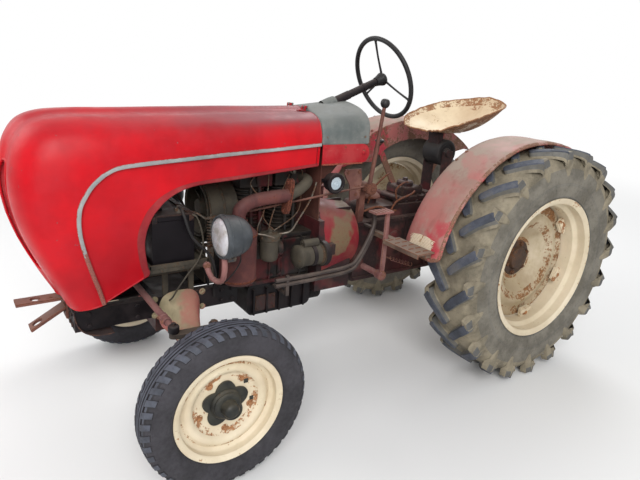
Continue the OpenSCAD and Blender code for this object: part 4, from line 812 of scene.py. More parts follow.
def rear_tyre(side):
    """Arched carcass with slanting bars and their buttresses."""
    name, s = side
    centre = Vector((0, s * REAR_TRACK / 2, REAR_R))
    half = REAR_W / 2
    tread = REAR_R - 30
    r0 = REAR_SEAT_R
    flank = [(r0, half - 30), (r0 + 7, half - 25), (r0 + 25, half - 22), (r0 + 44, half - 14),
             (r0 + 80, half - 8), (r0 + 110, half - 6), (r0 + 150, half - 7), (r0 + 180, half - 11),
             (r0 + 205, half - 17), (tread - 24, half - 28), (tread - 10, half - 44),
             (tread - 4, half - 66), (tread - 1, half - 92), (tread, half - 120), (tread, 0)]
    left = smooth_profile(flank, 3)
    profile = left + [(r, -y) for r, y in reversed(left[:-1])]
    kit = Kit()
    kit.lathe(centre, Y, profile, 144, lambda i, k: 0.38 if profile[i][0] < r0 + 176 else 0.0)
    # Raised rings on the side walls
    for y_side in (1, -1):
        for r, wide, y in ((r0 + 34, 4, half - 18), (r0 + 96, 2.5, half - 8), (r0 + 104, 2.5, half - 7.4)):
            kit.lathe(centre, Y, [(r - wide, y_side * (y - 2)), (r - wide / 2, y_side * (y + 1.6)),
                                  (r + wide / 2, y_side * (y + 1.6)), (r + wide, y_side * (y - 2))], 144,
                      0.45)
    # Bars, from the middle of the tread to its shoulder.
    # Columns: way round, way across, half width, top radius, base radius
    path = [(62, 2, 9, REAR_R - 6, tread - 4), (58, 6, 17, REAR_R - 1, tread - 4),
            (50, 14, 21, REAR_R, tread - 4), (22, 38, 22.5, REAR_R, tread - 5),
            (-8, 64, 23, REAR_R, tread - 6), (-30, 88, 23.5, REAR_R, tread - 9),
            (-54, 112, 24, REAR_R - 2, tread - 16), (-70, 128, 25, REAR_R - 5, tread - 30),
            (-78, 137, 25, REAR_R - 12, tread - 46)]
    # Buttresses down the wall. Columns: way round, radius, half width, height across
    wall = [(-77, REAR_R - 8, 24, half - 5), (-82, REAR_R - 20, 26, half - 1.5),
            (-88, REAR_R - 45, 26, half - 0.5), (-94, REAR_R - 70, 23, half - 0.5),
            (-100, REAR_R - 96, 18, half - 1.5), (-105, REAR_R - 122, 12, half - 4),
            (-108, REAR_R - 140, 6, half - 9)]
    # Sections across a bar and a buttress: share of the half width, share of the height
    bar = ((-1.6, 0), (-1.12, 0.3), (-0.98, 0.86), (-0.8, 1), (0.8, 1), (0.98, 0.86), (1.12, 0.3), (1.6, 0))
    buttress = ((-1.5, 0), (-1, 0.9), (-0.75, 1), (0.75, 1), (1, 0.9), (1.5, 0))
    def bar_tone(i, c):
        return 1.0 if c in (2, 3, 4) else (0.55 if c in (1, 5) else 0.0)
    def wall_tone(i, c):
        return 0.7 if i < 2 and c in (1, 2, 3) else 0.12
    line = []
    for i in range(len(path) * 2 - 1):
        a, b = path[i // 2], path[min(i // 2 + 1, len(path) - 1)]
        line.append([p + (q - p) * (i % 2) / 2 for p, q in zip(a, b)])
    for k in range(LUGS):
        for lug_side in (1, -1):
            turn = 2 * math.pi * (k + (0.5 if lug_side > 0 else 0)) / LUGS
            def place(tangent, y, r):
                angle = turn + tangent / REAR_R
                return centre + Vector((math.sin(angle) * r, y * lug_side * s, math.cos(angle) * r))
            rows = []
            for i, (tangent, y, wide, top, base) in enumerate(line):
                a, b = line[max(i - 1, 0)], line[min(i + 1, len(line) - 1)]
                way = Vector((b[0] - a[0], b[1] - a[1])).normalized()
                over = Vector((-way.y, way.x))
                row = []
                for c, up in bar:
                    q = Vector((tangent, y)) + over * wide * c
                    row.append(place(q.x, min(q.y, half - 0.6), base + (top - base) * up))
                rows.append(row)
            kit.skin(turned(rows, lug_side * s < 0), caps=True, tone=bar_tone)
            rows = []
            for tangent, r, wide, top in wall:
                low = half - 34 if r > tread - 20 else half - 12
                rows.append([place(tangent + wide * c, low + (top - low) * up, r) for c, up in buttress])
            kit.skin(turned(rows, lug_side * s < 0), caps=True, tone=wall_tone)
    kit.done("rear_tyre_tread_" + name, "rear_tyre", "tyre", ["rear_tyre_" + name],
             body="rear_wheel_" + name, smooth=40)


def rear_wheel(side):
    """Rim band with its clamps, dished disc and hub plate."""
    name, s = side
    centre = Vector((0, s * REAR_TRACK / 2, REAR_R))
    axis = Y * s
    half, r = REAR_RIM_W / 2, REAR_SEAT_R - 0.3
    rim = Kit()
    outer = [(22, -half + 1), (24, -half), (25.5, -half + 3), (23, -half + 6), (8, -half + 8),
             (2, -half + 12), (0, -half + 18), (0, -half + 50), (-4, -half + 56), (-20, -half + 64),
             (-24, -half + 70), (-24, half - 70), (-20, half - 64), (-4, half - 56), (0, half - 50),
             (0, half - 18), (2, half - 12), (8, half - 8), (23, half - 6), (25.5, half - 3), (24, half),
             (20, half + 0.3), (16, half - 2), (2, half - 5), (-5, half - 10), (-6, half - 18),
             (-6, half - 50), (-10, half - 57), (-26, half - 66), (-30, half - 72), (-30, -half + 72),
             (-26, -half + 66), (-10, -half + 57), (-6, -half + 50), (-6, -half + 16), (-2, -half + 6),
             (16, -half + 2)]
    rim.lathe(centre, axis, [(r + a, b) for a, b in outer], 120,
              lambda i, k: 0.22 if 17 <= i <= 21 else 0.06, closed=True)
    # Clamps between the rim and the disc: a foot, a loop and a nut each
    for k in range(6):
        out, flat = clock(math.radians(60 * k + 8))
        at = centre + axis * 14 + out * (r - 52)
        rim.prism([(-34, -30), (34, -30), (40, 6), (28, 25), (-28, 25), (-40, 6)], at - axis * 6, flat * s,
                  out, -14, 3, 0.25)
        rim.prism([(-46, -6), (46, -6), (40, 16), (-40, 16)], at + axis * 6 - out * 20, flat * s, out, -12,
                  3, 0.35)
        rim.bolt(at + axis * 9, axis, 12, 13, 0.5)
    rim.done("rear_rim_band_" + name, "cream", "cream_paint", ["rear_rim_" + name],
             body="rear_wheel_" + name)

    disc = Kit()
    r -= 36
    # The dish opens outward; its middle lies toward the tractor
    face = [(38, -66), (112, -68), (120, -66), (134, -58), (150, -48), (166, -34), (184, -16), (200, -8),
            (222, 4), (236, 4), (254, -4), (268, -9), (r - 34, -8), (r - 20, -4), (r - 4, -7), (r, -10),
            (r, -16), (r - 4, -16), (r - 36, -18), (252, -16), (228, -8), (205, -20), (190, -28),
            (170, -48), (152, -66), (128, -84), (112, -88), (38, -88)]
    disc.lathe(centre, axis, face, 120, lambda i, k: 0.3 if 11 <= i <= 15 or 6 <= i <= 7
               else (0.34 if i < 2 else 0.08), closed=True)
    disc.done("rear_disc_sheet_" + name, "disc", "cream_paint", body="rear_wheel_" + name)

    hub = Kit()
    hub.lathe(centre, axis, [(0, -160), (38, -160), (38, -104), (95, -104), (95, -88), (99, -88),
                             (101, -86), (102, -68), (98, -64), (66, -62), (64, -54), (60, -46), (50, -42),
                             (24, -40), (0, -40)], 72, 0.2)
    hub.bolts(ring_points(6, 82, centre - axis * 63, axis, 0.3), axis, 11, 12, 0.4)
    hub.done("rear_hub_plate_" + name, "rear_hub", "dark_iron", ["rear_disc_" + name],
             body="rear_wheel_" + name)


def front_tyre(side):
    """Ribbed tyre with blocks round its shoulders."""
    name, s = side
    centre = Vector((WHEELBASE, s * FRONT_TRACK / 2, FRONT_R))
    half = FRONT_W / 2
    r0, r = FRONT_SEAT_R, FRONT_R
    flank = smooth_profile([(r0, half - 29), (r0 + 6, half - 24), (r0 + 20, half - 21), (r0 + 30, half - 9),
                            (r0 + 48, half - 2), (r0 + 66, half), (r0 + 88, half - 3), (r0 + 104, half - 9),
                            (r - 16, half - 15), (r - 9, half - 22)], 3)
    ribs = [(r - 6, half - 28), (r - 5, half - 42), (r - 6, half - 44), (r - 12, half - 45),
            (r - 12, half - 49), (r - 2, half - 50), (r - 1, half - 52), (r - 1, half - 58),
            (r - 2, half - 60), (r - 10, half - 61), (r - 10, half - 65), (r - 1, half - 66),
            (r, half - 68), (r, 0)]
    left = flank + ribs
    profile = left + [(a, -b) for a, b in reversed(left[:-1])]
    kit = Kit()
    kit.lathe(centre, Y, profile, 120, lambda i, k: 0.38 if profile[i][0] < r - 12
              else (1.0 if profile[i][0] > r - 7 else 0.0))
    # Slanted blocks round both shoulders
    blocks = 44
    for k in range(blocks):
        for way in (1, -1):
            rows = []
            for t, y, top, base in ((0, half - 46, r - 1, r - 9), (0.3, half - 34, r - 1.5, r - 9),
                                    (0.62, half - 24, r - 5, r - 12), (0.85, half - 15, r - 12, r - 20),
                                    (1.0, half - 8, r - 22, r - 27)):
                row = []
                for c, up in ((-1, 0), (-0.8, 1), (0.8, 1), (1, 0)):
                    angle = 2 * math.pi * (k + (0.5 if way > 0 else 0)) / blocks + (-20 * t + c * 15) / r
                    rad = base + (top - base) * up
                    out = (y + (2 if up and t > 0.6 else 0)) * way
                    row.append(centre + Vector((math.sin(angle) * rad, out, math.cos(angle) * rad)))
                rows.append(row if way > 0 else list(reversed(row)))
            kit.skin(rows, caps=True, tone=lambda i, c: 1.0 if c == 1 else 0.2)
    kit.done("front_tyre_tread_" + name, "front_tyre", "tyre", ["front_tyre_" + name],
             body="front_wheel_" + name, smooth=40)


def front_wheel(side):
    """Rim with its sheet disc, and the hub with its cap."""
    name, s = side
    centre = Vector((WHEELBASE, s * FRONT_TRACK / 2, FRONT_R))
    axis = Y * s
    half, r = FRONT_RIM_W / 2, FRONT_SEAT_R - 0.3
    rim = Kit()
    band = [(17, -half), (19, -half + 2), (17, -half + 5), (5, -half + 6), (0, -half + 11), (0, -half + 28),
            (-4, -half + 34), (-16, -half + 41), (-16, half - 41), (-4, half - 34), (0, half - 28),
            (0, half - 11), (5, half - 6), (17, half - 5), (19.6, half - 2), (18, half + 0.2),
            (14, half - 0.5), (2, half - 3), (-5, half - 9), (-5, half - 31), (-9, half - 37),
            (-21, half - 44), (-21, -half + 44), (-9, -half + 37), (-5, -half + 31), (-5, -half + 9),
            (0, -half + 3), (14, -half + 1)]
    rim.lathe(centre, axis, [(r + a, b) for a, b in band], 96, lambda i, k: 0.12 if 12 <= i <= 17 else 0.04,
              closed=True)
    # The sheet disc, from the rim's well to the hub's opening
    face = smooth_profile([(r - 21, 9), (r - 28, 12), (165, 17), (150, 18), (138, 12), (128, 3), (112, -1),
                           (84, -2), (66, -2)], 3)
    back = [(a, b - 6) for a, b in reversed(face)]
    rim.lathe(centre, axis, face + back, 96,
              lambda i, k: 0.3 if i < 4 else (0.34 if 12 < i < 18 else 0.06), closed=True)
    rim.bolts(ring_points(5, 110, centre - axis * 1, axis, math.radians(36 + 18)), axis, 10, 11, 0.45)
    rim.done("front_rim_sheet_" + name, "cream", "cream_paint", ["front_rim_" + name],
             body="front_wheel_" + name)

    hub = Kit()
    # Hub plate with five broad lobes, its studs standing between them
    u, v = across(axis)
    outline = []
    for k in range(120):
        a = 2 * math.pi * k / 120
        q = 70 + 26 * (0.5 + 0.5 * math.cos(5 * (a - math.radians(18)))) ** 0.55
        outline.append((q * math.cos(a), q * math.sin(a)))
    hub.prism(outline, centre - axis * 10, u, v, 16, 2.0, 0.1)
    hub.lathe(centre, axis, [(22.5, -62), (30, -62), (38, -32), (46, -32), (46, 4), (60, 5), (62, 9),
                             (58, 16), (54, 18), (54, 24), (49, 28), (44, 30), (34, 32), (32, 50), (30, 62),
                             (24, 70), (12, 74), (0, 75)], 56, 0.15)
    # Two small dark squares, painted shade that stands for the sheet's holes beside the plate
    for a, size in ((40, 9), (-6, 8)):
        at = centre + (u * math.cos(math.radians(a)) + v * math.sin(math.radians(a))) * 112 - axis * 3
        hub.prism([(-size, -size), (size, -size), (size, size), (-size, size)], at, u, v, 4.5, 0.5)
    hub.done("front_hub_cap_" + name, "hub", "dark_iron", ["front_hub_" + name], body="front_wheel_" + name)


# ---- Fenders, seat and footing


def fender_place(way, off):
    """A place on a fender's arc: way 0 at the foot, 1 at the crown, 2 at the tail; off is outward."""
    if way <= 1:
        r, a = FENDER_FRONT_R, math.radians(FENDER_FOOT_A + (90 - FENDER_FOOT_A) * way)
    else:
        r, a = FENDER_REAR_R, math.radians(90 + (FENDER_TAIL_A - 90) * (way - 1))
    return Vector((FENDER_LEAD + math.cos(a) * (r + off), 0, FENDER_TOP - r + math.sin(a) * (r + off)))


def strap_length(lean, u, r):
    """Way from the axle's level, along a strap's edge, to the underside of a fender's arc."""
    a = math.radians(lean)
    d = Vector((math.sin(a), math.cos(a)))
    q = Vector((math.cos(a), -math.sin(a))) * u - Vector((FENDER_LEAD, FENDER_TOP - r - REAR_R))
    b = d.dot(q)
    return -b + math.sqrt(b * b - q.dot(q) + (r - 11) ** 2)


def fenders():
    """Both fenders with their straps and inner side sheets."""
    kit = Kit()
    inner, wide, corner = FENDER_INNER, FENDER_W, 45
    section = [(-14, 1), (-11.5, 5), (-8, 12), (-4, 24), (-1.2, 40), (0, 60), (0.6, 120), (0, 200),
               (-0.6, 222), (-2, 236), (-6, 246), (-11, 250), (-16, 249), (-17, 246), (-12, 244), (-8, 240),
               (-5, 230), (-4, 200), (-3.6, 120), (-4, 60), (-5, 40), (-8, 26), (-12, 14), (-16, 4)]
    steps = 120
    front_part = FENDER_FRONT_ARC / (FENDER_FRONT_ARC + FENDER_REAR_ARC)
    def draw():
        rows = []
        for i in range(steps + 1):
            t = i / steps
            way = t / front_part if t <= front_part else 1 + (t - front_part) / (1 - front_part)
            # Way from the foot, in millimetres, for its rounded corners
            end = min(way, 1) * FENDER_FRONT_ARC
            cut = corner - math.sqrt(max(0.0, corner ** 2 - (corner - end) ** 2)) if end < corner else 0
            tail = min(2 - way, 1) * FENDER_REAR_ARC
            cut_tail = 14 - math.sqrt(max(0.0, 14 ** 2 - (14 - tail) ** 2)) if tail < 14 else 0
            row = []
            for off, y in section:
                y = min(max(y, cut + cut_tail), wide - cut - cut_tail)
                dent = noise.noise(Vector((way * 3.1, y * 0.012, kit.side * 2.0))) * 2.6
                dent += noise.noise(Vector((way * 9, y * 0.03, 5 + kit.side))) * 1.1
                if y > wide - 16 or y < 12:
                    dent += noise.noise(Vector((way * 26, y * 0.01, 9 + kit.side))) * 1.6
                p = fender_place(way, off + dent - 1.2)
                row.append(Vector((p.x, inner + y, p.z)))
            rows.append(row)
        kit.skin(rows, wrap=True, caps=True,
                 tone=lambda i, k: 0.6 if k in (9, 10, 11, 12, 13) or k in (0, 23) or i < 2 or i > steps - 3
                 else (0.25 if k > 13 else 0.0))
        # Straps from the axle up to the underside of the sheet, bolted
        for lean, r in ((-32, FENDER_REAR_R), (32, FENDER_FRONT_R)):
            out, flat = clock(math.radians(lean))
            foot = Vector((0, inner + 13, REAR_R))
            tops = [strap_length(lean, u, r) for u in (20, -20)]
            kit.prism([(-20, 124.5), (20, 124.5), (20, tops[0]), (-20, tops[1])], foot, flat, out, 8, 1.5,
                      0.7)
            kit.bolts([foot + out * d + Y * 0.2 for d in (142, 172)], Y, 8, 7, 0.7)
        # Inner side sheet between the arc and the wheel's top
        sheet = []
        for i in range(41):
            way = 0.32 + 1.62 * i / 40
            p = fender_place(way, -13)
            low = Vector((0, 0, REAR_R)) + Vector((p.x, 0, p.z - REAR_R)).normalized() * SHEET_R
            depth = min(1.0, i / 5, (40 - i) / 5)
            end = Vector((p.x + (low.x - p.x) * depth, inner + 4, p.z + (low.z - p.z) * depth))
            sheet.append([Vector((p.x, inner + 2, p.z)), end])
        for shift in (0, 2):
            rows = [[a + Y * shift, b + Y * shift] for a, b in sheet]
            kit.skin(turned(rows, not shift), tone=0.5)
        for way in (0.58, 0.66, 1.3, 1.42):
            p = fender_place(way, -1.5)
            kit.bolt((p.x, inner + 24, p.z), fender_place(way, 1) - fender_place(way, 0), 6, 4, 0.6)
    kit.both(draw)
    kit.done("fender_sheets", "fender", "red_paint", ["fenders"])


def worn_patch():
    """Pale worn paint low on the left fender, with a ragged outline."""
    kit = Kit()
    rows = []
    count = 60
    for i in range(count + 1):
        way = PATCH_WAY[0] + (PATCH_WAY[1] - PATCH_WAY[0]) * i / count
        ragged = []
        for k in (1, 2):
            wave = noise.noise(Vector((i * 0.33, k * 9.0, 4.0))) * 20
            ragged.append(wave + noise.noise(Vector((i * 0.9, k * 5.0, 7.0))) * 8)
        ends = min(1.0, i / 6, (count - i) / 6)
        middle = (PATCH_Y[0] + PATCH_Y[1]) / 2
        low = middle + (PATCH_Y[0] + ragged[0] - middle) * (0.35 + 0.65 * ends)
        high = middle + (PATCH_Y[1] + ragged[1] - middle) * (0.35 + 0.65 * ends)
        under, over = fender_place(way, -0.3), fender_place(way, 0.35)
        rows.append([over + Y * low, over + Y * high, under + Y * high, under + Y * low])
    kit.skin(rows, wrap=True, caps=True, tone=lambda i, k: 0.25 + 0.5 * (i % 5 == 0))
    kit.done("fender_worn_patch", "cream", "cream_paint")


def seat():
    """Seat pan with its bracket and rubber spring."""
    def reach(a):
        round_x = SEAT_BACK if 90 < a < 270 else SEAT_FRONT
        side, ahead = abs(math.sin(math.radians(a))) / SEAT_Y, abs(math.cos(math.radians(a))) / round_x
        lobe = (ahead ** 2.8 + side ** 2.8) ** (-1 / 2.8)
        off = min(a, 360 - a)
        return lobe - (SEAT_NOTCH * (1 + math.cos(math.radians(off * 7.5))) / 2 if off < 24 else 0)
    def rise(a):
        off = min(a, 360 - a) - SEAT_SIDE_A
        if off < 0:
            return SEAT_SIDE_RISE * (off + SEAT_SIDE_A) / SEAT_SIDE_A
        return SEAT_SIDE_RISE + SEAT_BACK_RISE * (off / (180 - SEAT_SIDE_A)) ** 0.73
    kit = Kit()
    count, rings = 180, 26
    def at(k, t, layer):
        a = k * 360 / count
        q = reach(a) * t
        z = rise(a) * t ** 2.4 - layer * 4
        c, s = math.cos(math.radians(a)), math.sin(math.radians(a))
        # Hollows for the driver's legs, small dents and a battered front edge
        hollow = -7 * math.exp(-((q * c - 40) / 110) ** 2 - ((abs(q * s) - 95) / 70) ** 2)
        dent = noise.noise(Vector((q * c * 0.012, q * s * 0.012, 3))) * 3.0
        if t > 0.93:
            share = (t - 0.93) / 0.07
            ripple = noise.noise(Vector((c * 6, s * 6, 8))) * 3.0
            ripple += noise.noise(Vector((c * 17, s * 17, 2))) * (5.0 if c > 0.2 else 1.2)
            dent += ripple * share
        return Vector((SEAT_AT + q * c, q * s, SEAT_Z + z + hollow + dent * t))
    shares = [0.02 + 0.98 * i / rings for i in range(rings + 1)]
    for layer in (0, 1):
        rows = [[at(k, t, layer) for k in range(count)] for t in shares]
        kit.skin(turned(rows, not layer), wrap=True,
                 tone=lambda i, k: (0.05 if i < rings - 3 else 0.3) + (0.3 if layer else 0))
        middle = list(range(count))
        kit.add([at(k, 0.02, layer) for k in range(count)], [list(reversed(middle)) if layer else middle])
    kit.tube([at(k, 1.0, 0.5) for k in range(count)], 4.2, 10, 1, 0.55, close=True)
    # Heads that hold the pan to its channel
    kit.bolts([(SEAT_AT + x, y, SEAT_Z - 5) for x in (-30, 60) for y in (-26, 26)], Z, 8, 4, 0.5)
    kit.done("seat_pan_sheet", "seat", "cream_paint", ["seat_pan"])

    bracket = Kit()
    bracket.node("seat_bracket", 1.5)
    for s in (1, -1):
        bracket.bolts([(x, s * 76, z) for x in (128, 172) for z in (850, 880)], Y * s, 8, 7)
    bracket.done("seat_bracket_plates", "casting", "red_paint", ["seat_bracket"])
    spring = Kit()
    for s in (1, -1):
        profile = [(74, -14), (76, -8), (75, 0), (70, 6), (60, 9), (50, 6), (46, 2), (30, 1), (26, 14),
                   (20, 22), (13, 24), (12, 8), (0, 8)]
        spring.lathe((150, 58 * s, 1130), Y * s, profile, 56)
    spring.lathe((150, -52, 1130), Y, [(72.6, 0), (74.5, 6), (75, 40), (75, 64), (74.5, 98), (72.6, 104)],
                 56)
    spring.done("seat_rubber_spring", "rubber", "black_rubber")


def footing():
    """Pedals and step plates."""
    kit = Kit()
    kit.node("pedals", 2.0)
    def pads():
        # Worn grip bars on the pad, and the boss, pin and spring at the arm's foot
        for k in range(4):
            x = 766 + k * 24
            kit.box((x, 268, 909), (x + 9, 322, 911.5), 0.8, 0.6)
        kit.rod((762, 262, 560), (762, 306, 560), 24, tone=0.4)
        kit.bolt((762, 306, 560), Y, 11, 8)
        turns = [(700 - 3.2 * k, 276 + 11 * math.cos(k * 0.9), 640 - 1.2 * k + 11 * math.sin(k * 0.9))
                 for k in range(52)]
        kit.tube(turns, 2.2, 6, 1, 0.5)
        kit.rod((752, 282, 660), (700, 282, 641), 3.5, 10, 0.5)
    kit.both(pads)
    kit.done("pedal_levers", "pink", "rusty_steel", ["pedals"])
    step = Kit()
    step.node("step_plates", 1.8)
    def treads():
        for k in range(5):
            for m in range(2):
                y = 345 + k * 48
                step.box((712 + m * 46, y, 769.5), (742 + m * 46, y + 7, 772), 0.8, 0.9)
        step.bolts([(722, 420, 727.5), (722, 462, 727.5)], -Z, 8, 6, 0.6)
    step.both(treads)
    step.done("step_treads", "step", "rusty_steel", ["step_plates"])


# ---- Lamps, exhaust, battery and engine


def lamps():
    """Headlamps, their arms and wires."""
    bowl, lens = Kit(), Kit()
    for s in (1, -1):
        x, y, z = LAMP_AT
        at = Vector((x, y * s, z))
        shell = smooth_profile(
            [(0, -34), (24, -32), (46, -23), (66, -5), (79, 22), (85, 50), (87, 74)], 5)
        rim = [(88, 75), (90.5, 77), (90.5, 81), (88, 83), (88, 90), (86, 97), (81, 99), (77, 96), (76, 92)]
        bowl.lathe(at, X, shell + rim, 72, lambda i, k: 0.2 if i > 36 else 0.03)
        bowl.tube(ring_points(60, 82.0, at + X * 32, X), 1.3, 8, 1, 0.3, close=True)
        bowl.box((1630, y * s - 15, 800), (1668, y * s + 15, 830), 3, 0.6)
        for x in (1636, 1662):
            bowl.rod((x, y * s, 830), (x, y * s, 812), 6, 14, 0.6)
        bowl.bolts([(1640, y * s + 16 * s, 816), (1659, y * s + 16 * s, 816)], Y * s, 6, 6, 0.8)
        bowl.lathe((1649, y * s, 832), Z, [(12, -14), (15, -12), (15, 0), (19, 3), (19, 8), (12, 10)], 24,
                   0.7)
        lens.lathe(at, X, smooth_profile([(76, 94), (66, 103), (50, 108), (26, 112), (0, 113.5)], 4), 64)
    bowl.done("headlamp_bowls", "lamp", "grey_paint", ["headlamps"])
    lens.done("headlamp_lenses", "lens", "grey_paint")

    arms = Kit()
    def draw():
        arms.tube([(1675, 372, 818), (1672, 366, 760), (1668, 340, 710), (1676, 310, 693), (1690, 280, 702),
                   (1700, 258, 738)], 12, 16, 8)
        arms.lathe((1700, 248.3, 748), Y, [(0, 0), (15, 0), (16, 1), (16, 13), (15, 14), (0, 14)], 24, 0.4)
        arms.bolt((1700, 262.3, 748), Y, 8, 8, 0.6)
    arms.both(draw)
    arms.done("lamp_arms", "pink", "red_paint", ["lamp_brackets"])
    wire = Kit()
    def loom():
        wire.tube([(1612, 372, 840), (1606, 372, 790), (1640, 352, 722), (1668, 318, 682), (1690, 282, 690),
                   (1684, 250, 730)], 3, 8, 8)
    wire.both(loom)
    wire.done("lamp_wires", "rubber", "black_rubber")


def exhaust():
    """Branch, elbow and muffler drum."""
    pipe = Kit()
    pipe.tube([(1160, 95, 1058), (1160, 140, 1058), (1172, 172, 1053), (1205, 198, 1042), (1250, 214, 1024),
               (1302, 222, 1008)], lambda t: 24 + 2 * t, 24, 6, 0.1)
    pipe.done("exhaust_branch", "olive", "rusty_steel")
    elbow = Kit()
    elbow.tube([(1306, 222, 1008), (1380, 222, 1006), (1450, 222, 1000), (1500, 221.5, 988),
                (1532, 219, 966), (MUFFLER_X, MUFFLER_Y, 940), (MUFFLER_X, MUFFLER_Y, 920.3)], 30, 24, 6,
               0.2)
    outline = [(-22, -60), (-17, -76), (0, -81), (17, -76), (22, -60), (26, -20), (26, 20), (22, 60),
               (17, 76), (0, 81), (-17, 76), (-22, 60), (-26, 20), (-26, -20)]
    lean = Vector((-0.14, 0, 0.99)).normalized()
    for x, tone in ((1304, 0.8), (1293, 0.5)):
        elbow.prism(outline, (x, 222, 1003), Y, lean, 8, 1.5, tone)
    elbow.bolts([(1312 - 0.14 * d, 222, 1003 + d) for d in (-64, 64)], X, 9, 9, 0.8)
    elbow.bolts([(1293 - 0.14 * d, 222, 1003 + d) for d in (-64, 64)], -X, 9, 9, 0.8)
    elbow.lathe((MUFFLER_X, MUFFLER_Y, 905), Z, [(36, 0), (38, 3), (38, 14), (32, 17)], 32, 0.5)
    elbow.done("exhaust_pipe", "muffler", "rusty_steel", ["exhaust_elbow"])

    drum = Kit()
    profile = [(0, 630), (52, 630), (58, 632), (74, 642), (80, 650), (83, 653), (83, 658), (80.5, 661),
               (80, 700), (80, 850), (80.5, 853), (83, 856), (83, 861), (80, 864), (66, 878), (50, 896),
               (38, 908), (34, 918), (0, 919)]
    drum.lathe((MUFFLER_X, MUFFLER_Y, 0), Z, profile,
               72, lambda i, k: 0.6 if i in (4, 5, 6, 10, 11, 12) else 0.1)
    drum.box((1532, 130, 590), (1548, 142, 664), 1.5, 0.3)
    drum.box((1532, 130, 640), (1548, 170, 664), 1.5, 0.3)
    drum.tube([(1460.5, 214, 700), (1460.5, 222, 860)], 2.2, 8, 2, 0.7)
    drum.done("muffler_drum", "muffler", "rusty_steel", ["muffler"])


def battery():
    """Battery with its clamps, cables and tray."""
    box = Kit()
    box.node("battery", 3.0)
    for y in (-120, -70, -20, 30, 80, 130):
        box.lathe((1858, y, 968), Z, [(15, 0), (15, 8), (12, 11), (8, 12), (0, 12)], 20, 0.2)
    box.done("battery_box", "battery", "battery_case", ["battery"])
    posts = Kit()
    for y in (-150, 180):
        posts.lathe((1790, y, 968), Z, [(17, 0), (17, 12), (14, 15), (10, 16), (10, 23), (8, 25), (0, 25)],
                    20, 0.3)
        posts.box((1772, y - 8, 972), (1808, y + 8, 984), 2, 0.5)
        posts.bolt((1802, y + 9, 979), Y, 5, 5, 0.6)
    posts.done("battery_clamps", "steel", "bare_steel")
    # Hold-down frame over the lid
    frame_piece = Kit()
    for x in (1748, 1898):
        frame_piece.box((x, -206, 968.5), (x + 20, 236, 974), 1.5, 0.6)
        frame_piece.box((x, -206, 948), (x + 20, -202, 972), 1.2, 0.6)
        frame_piece.box((x, 232, 944), (x + 20, 236, 972), 1.2, 0.6)
    for y in (-208, 226):
        frame_piece.box((1748, y, 968.5), (1918, y + 12, 974), 1.5, 0.4)
    frame_piece.done("battery_hold_down", "black", "rusty_steel")
    cable = Kit()
    cable.tube([(1790, 180, 987), (1796, 222, 991), (1792, 248, 962), (1765, 264, 880), (1690, 272, 790),
                (1664, 262, 700), (1632, 196, 640), (1624, 156, 600), (1620, 149.5, 550)], 6, 14, 8)
    cable.tube([(1790, -150, 987), (1760, -140, 1004), (1728, -80, 1000), (1716, 20, 960), (1712, 90, 880),
                (1700, 120, 800), (1668, 116, 720), (1640, 112, 640), (1632, 110, 596)], 6, 12, 8)
    cable.done("battery_lead", "rubber", "black_rubber", ["battery_cables"])
    earth = Kit()
    earth.tube([(1760, 246, 972), (1742, 252, 958), (1724, 254, 905), (1718, 256, 840), (1742, 262, 778),
                (1786, 266, 728), (1826, 262, 672), (1842, 236, 622), (1838, 190, 590)], 3.6, 10, 8, 0.4)
    earth.done("earth_cable", "olive", "black_rubber")
    tray = Kit()
    tray.node("battery_tray", 2.0)
    tray.box((1690, -248, 760), (1696, 248, 776), 1, 0.3)
    tray.box((1929, -248, 760), (1935, 248, 776), 1, 0.3)
    tray.box((1690, 242, 758), (1935, 248, 778), 1, 0.3)
    tray.bolts([(x, 248.5, 752) for x in (1740, 1800, 1890)], Y, 6, 5)
    tray.box((1694, 150, 700), (1930, 168, 741), 2, 0.4)
    tray.box((1694, -168, 700), (1930, -150, 741), 2, 0.4)
    tray.done("battery_tray_sheet", "olive", "olive_paint", ["battery_tray"])


def crankcase():
    """Engine block with the injection pump."""
    block = Kit()
    block.node("engine_block", 4.0)
    # Cast ribs, covers and studs on both sides of the crankcase
    def flank():
        block.box((1130, 128, 590), (1290, 138, 770), 4)
        block.box((1310, 128, 590), (1480, 136, 700), 4)
        block.bolts([(x, 138, z) for x in (1142, 1278) for z in (602, 680, 758)], Y, 7, 7)
        block.bolts([(x, 136, z) for x in (1322, 1468) for z in (602, 688)], Y, 7, 7)
        block.box((1108, 128, 780), (1498, 142, 798), 3)
        block.box((1108, 128, 562), (1498, 142, 580), 3)
        for x in (1160, 1262, 1330, 1410, 1470):
            block.box((x, 128, 580), (x + 10, 141, 780), 2.5)
    block.both(flank)
    # Injection pump with its governor
    block.box((1316, 130, 706), (1470, 178, 776), 5)
    block.box((1330, 134, 776), (1454, 172, 790), 3)
    block.lathe((1316, 154, 740), -X, [(34, 0), (36, 3), (36, 24), (30, 30), (0, 32)], 32)
    for x in PUMP_XS:
        block.rod((x, 156, 790), (x, 156, 812), 11)
        block.bolt((x, 156, 812), Z, 9, 8)
    block.bolts([(x, 178, z) for x in (1330, 1392, 1456) for z in (716, 766)], Y, 6, 6)
    block.done("crankcase", "engine", "dark_iron", ["engine_block"])


